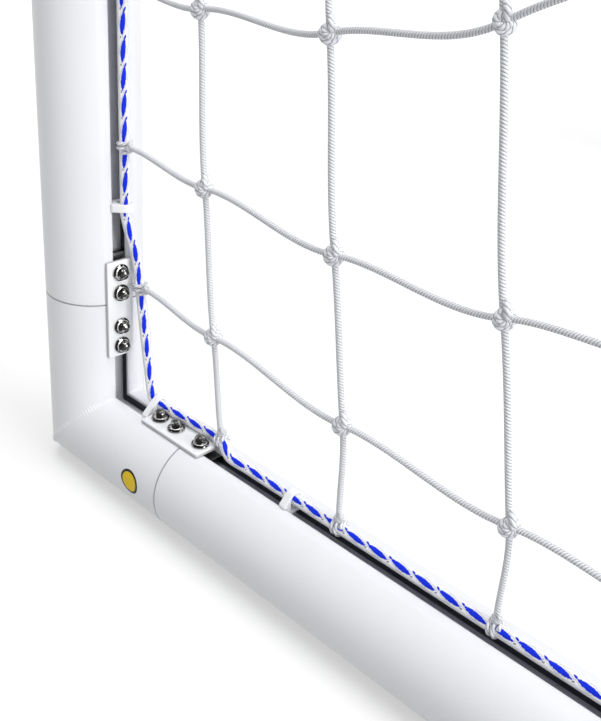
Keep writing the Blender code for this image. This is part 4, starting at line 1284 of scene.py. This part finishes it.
def side_net(hand, side):
    """Columns from the bar rope to the slope rope, and rows from the post rope to it."""
    spots = {}
    for i in range(MESHES + 1):
        for j in range(MESHES + 1 - i):
            y, z = side_knot(i, j) + (FRONT_Y, GROUND_Z)
            near = RIGHT_ROPE[np.argmin(np.linalg.norm(RIGHT_ROPE[:, 1:] - (y, z), axis=1)), 0]
            at_rope = i * j == 0 and 0 < i + j < MESHES
            spots[i, j] = np.array((side * (near if at_rope else POST_X - ROPE_SIDE), y, z))
    face = side * RIGHT + BACK + 0.5 * UP
    parts = []
    for i in range(1, MESHES):
        column = np.array([spots[i, j] for j in range(MESHES - i + 1)])
        parts.append(cord_surface(column, RIGHT, SIDE_COLUMN_TILT))
        parts += tied(spots[i, 0], BACK, UP, UP, face, i)
    for j in range(1, MESHES):
        row = np.array([spots[i, j] for i in range(MESHES - j + 1)])
        parts.append(cord_surface(row, RIGHT, KNOT_TILT))
        parts += tied(spots[0, j], UP, BACK, UP, face, j)
    for i in range(1, MESHES):
        parts += tied(spots[i, MESHES - i], SLOPE_WAY, -SLOPE_OUT, UP, face, i)
    for (i, j), centre in spots.items():
        if i and j and i + j < MESHES:
            parts += knot_surfaces(centre, UP, face, TURN_ALONG * i + TURN_UP * j)
    make_piece(f"side_net_{hand}_cords", parts, net_twist, [f"side_net_{hand}"], 180)
    return len(parts)


for hand, side in HANDS:
    print(f"side net {hand}:", side_net(hand, side), "cords, wraps and knots")

# %% [markdown]
# ## Back net
# The back net slopes from the crossbar to the rear bar between the two slope ropes. It is tied
# as the side nets are, so the same helpers make it. Its knots could lie on a flat grid, but a
# real net's own weight shows: they hang a little under the straight slope, most in the middle.

# %% Back net
COLUMNS = 10
ROWS = 9
SAG = 0.012
BACK_COLUMN_TILT = 0.4 * KNOT_TILT
ROPE_REACH = 1.5 * PASS_SIDE


def border(rope_points, x):
    """(y, z) from the lower front corner of the rope's middle line at each x."""
    run = rope_points[np.argsort(rope_points[:, 0])]
    y = np.interp(x, run[:, 0], run[:, 1]) - FRONT_Y
    z = np.interp(x, run[:, 0], run[:, 2]) - GROUND_Z
    return np.stack((y, z), axis=-1)


across = np.arange(COLUMNS + 1) / COLUMNS
fall = np.arange(ROWS + 1) / ROWS
knot_x = (POST_X - ROPE_SIDE) * (2 * across - 1)
top_line = border(rope_path[rope_path[:, 2] > TOP_Z - ROPE_REACH], knot_x)
low_line = border(rope_path[rope_path[:, 1] > REAR_Y - ROPE_REACH], knot_x)
share = fall[None, :, None]
knot_yz = top_line[:, None] * (1 - share) + low_line[:, None] * share
hang = 16 * SAG * (across * (1 - across))[:, None] * (fall * (1 - fall))[None]
knot_yz = knot_yz - hang[..., None] * SLOPE_OUT[1:]
knot_yz[[0, COLUMNS]] = NEAR + (FAR - NEAR) * fall[:, None]
grid = np.empty((COLUMNS + 1, ROWS + 1, 3))
grid[..., 0] = knot_x[:, None]
grid[..., 1:] = knot_yz + (FRONT_Y, GROUND_Z)
back_parts = []
for i in range(1, COLUMNS):
    back_parts.append(cord_surface(grid[i], SLOPE_OUT, BACK_COLUMN_TILT))
    back_parts += tied(grid[i, 0], RIGHT, SLOPE_WAY, -SLOPE_WAY, SLOPE_OUT, i)
    back_parts += tied(grid[i, ROWS], RIGHT, -SLOPE_WAY, -SLOPE_WAY, SLOPE_OUT, i)
for j in range(1, ROWS):
    back_parts.append(cord_surface(grid[:, j], SLOPE_OUT, KNOT_TILT))
    back_parts += tied(grid[0, j], SLOPE_WAY, RIGHT, -SLOPE_WAY, SLOPE_OUT, j)
    back_parts += tied(grid[COLUMNS, j], SLOPE_WAY, -RIGHT, -SLOPE_WAY, SLOPE_OUT, j)
for i in range(1, COLUMNS):
    for j in range(1, ROWS):
        turn = TURN_ALONG * i + TURN_UP * j
        back_parts += knot_surfaces(grid[i, j], -SLOPE_WAY, SLOPE_OUT, turn)
make_piece("back_net_cords", back_parts, net_twist, ["back_net"], 180)
print("back net:", len(back_parts), "cords, wraps and knots")

# %% [markdown]
# ## Inner sleeves
# A sleeve inside each corner joins it to its tubes. The sleeves are plain extrusions that nobody
# sees. They could be drawn again, but the CAD solids are already right, so they stay as they
# are and only take the metal.

# %% Sleeve metal
sleeves = [node for name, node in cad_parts.items() if "sleeve" in name]
for node in sleeves:
    node.data.materials.clear()
    node.data.materials.append(aluminium.material)
print("sleeves:", len(sleeves))

# %% [markdown]
# ## A plain sticker
# The front corner carries a small round sticker, yellow with a dark rim. It could be painted
# into the tube's finish, but a real sticker has its own gloss and a thin edge. So it is a disc
# in polar coordinates, wrapped on the tube.


# %% Sticker
STICKER_PLACE = 0.0936
STICKER_RADIUS = 0.0100
STICKER_RINGS = np.array((0.0, 0.2, 0.4, 0.6, 0.78, 0.82, 0.96, 1.0, 1.0))
STICKER_LIFTS = np.array((0.15, 0.15, 0.15, 0.15, 0.15, 0.15, 0.15, 0.10, -0.1)) / 1000


def sticker_finish():
    """UV x is the distance from the middle: yellow inside, a dark ring outside."""
    made = Finish("sticker print", Specular_IOR_Level=0.12)
    ring = made.uv()[0].rise(0.78, 0.82)
    ink = made.noise(300.0)
    yellow = made.blend(ink, (0.86, 0.60, 0.012, 1), (0.80, 0.55, 0.012, 1))
    made.colour(made.blend(ring, yellow, (0.012, 0.011, 0.014, 1)))
    made.rough(0.32 + 0.1 * ink)
    made.bump(made.noise(900.0), 0.00002)
    return made


def sticker_surface(side):
    """Disc points (r, a) laid on the tube by arc length, 0.15 mm proud, with a thin rim."""
    a = np.linspace(0, 2 * math.pi, 49)[:-1]
    reach = STICKER_RADIUS * STICKER_RINGS[:, None]
    angle = reach * np.sin(a) / TUBE_RADIUS
    radius = TUBE_RADIUS + STICKER_LIFTS[:, None]
    x = side * (POST_X + radius * np.cos(angle))
    y = FRONT_Y + (STICKER_PLACE + reach * np.cos(a))
    rows = np.stack((x, y, GROUND_Z + radius * np.sin(angle)), axis=-1)
    rows = np.concatenate((rows, np.broadcast_to(rows[-1].mean(axis=0), rows[-1:].shape)))
    spread = np.broadcast_to(np.append(STICKER_RINGS, 1.0)[:, None], rows.shape[:2])
    return surface(rows, uv=np.stack((spread, spread), axis=-1))


print_finish = sticker_finish()
for hand, side in HANDS:
    make_piece(f"sticker_{hand}", [sticker_surface(side)], print_finish)
print("stickers:", len(HANDS))

# %% [markdown]
# ## Floor and light
# The goal stands on a plain white floor under one broad lamp, with a softer one from the net
# side. The floor could be lit until it turns white, but then the white paint would lose its
# shading. So the floor and the world show white only to the camera and in reflections.

# %% Floor
NEAR_GLOW, FAR_GLOW = 0.46, 0.85
GLOW_FROM, GLOW_TO = 1.2, 3.2
FLOOR_Z = -0.0002


def seen_white(tree):
    """1 where the camera, a reflection or a clear piece sees this, else 0."""
    camera_ray = tree.node("ShaderNodeLightPath", {}, output="Is Camera Ray")
    glossy_ray = camera_ray.sibling("Is Glossy Ray")
    return camera_ray.most(glossy_ray).most(camera_ray.sibling("Is Transmission Ray"))


def floor_finish():
    """A pale floor that takes shadows, and is seen brighter from GLOW_FROM to GLOW_TO metres out."""
    made = Finish("floor", Roughness=0.9)
    cloud = made.noise(3.0)
    made.colour(made.blend(cloud, (0.52, 0.52, 0.52, 1), (0.50, 0.50, 0.50, 1)))
    away = made.node("ShaderNodeVectorMath", {"operation": "LENGTH"}, made.place(), output="Value")
    glow = away.rise(GLOW_FROM, GLOW_TO) * (FAR_GLOW - NEAR_GLOW) + NEAR_GLOW
    shine = made.blend(seen_white(made) * glow, (0, 0, 0, 1), (1, 1, 1, 1))
    made.feed(made.shader.inputs["Emission Color"], shine)
    made.shader.inputs["Emission Strength"].default_value = 1.0
    return made


def studio_floor():
    """A flat disc of rings, r cos a and r sin a, that keeps the shadow."""
    r = np.array((0.0, 0.5, 1.0, 2.0, 4.0, 8.0, 16.0))[:, None]
    a = np.linspace(0, 2 * math.pi, 65)[:-1]
    x, y = r * np.cos(a), r * np.sin(a)
    points, faces = surface(np.stack((x, y, np.full(x.shape, FLOOR_Z)), axis=-1))[:2]
    mesh_object("floor", points, faces.tolist(), floor_finish())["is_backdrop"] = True
    return len(faces)


print("floor:", studio_floor(), "faces")

# %% World and lamps
WORLD_FILL = 0.40


def world_light(strength):
    """White where the camera or a reflection sees it, and a fill of the given strength."""
    world = bpy.data.worlds.new("studio")
    bpy.context.scene.world = world
    world.use_nodes = True
    tree = Tree(world.node_tree)
    background = tree.nodes["Background"]
    background.inputs["Color"].default_value = (1, 1, 1, 1)
    tree.feed(background.inputs["Strength"], seen_white(tree) * (1 - strength) + strength)


def lamp(name, place, aim, size, watts):
    """A square area lamp at a place, turned to its aim."""
    data = bpy.data.lights.new(name, "AREA")
    data.size = size
    data.energy = watts
    made = bpy.data.objects.new(name, data)
    way = np.array(aim, dtype=float) - place
    way /= np.linalg.norm(way)
    side = np.cross(way, UP)
    side /= np.linalg.norm(side)
    made.matrix_world = facing(side, np.cross(side, way), -way, place)
    bpy.context.scene.collection.objects.link(made)


world_light(WORLD_FILL)
lamp("broad lamp", (0.82, 0.86, 5.38), (0.5, -0.1, 0.1), 4.2, 248)
lamp("net side lamp", (0.02, 5.88, 1.96), (0.5, -0.2, 0.2), 3.5, 320)
bpy.context.scene.view_settings.view_transform = "Standard"
print("lamps:", len(bpy.data.lights))

# %% [markdown]
# ## Sizes and the last line
# The dressed goal's box is printed, in millimetres. The dressed goal may not outgrow
# the CAD box.

# %% Finish
low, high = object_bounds()
print("visual box, mm:", [round(1000 * (b - a), 1) for a, b in zip(low, high)])
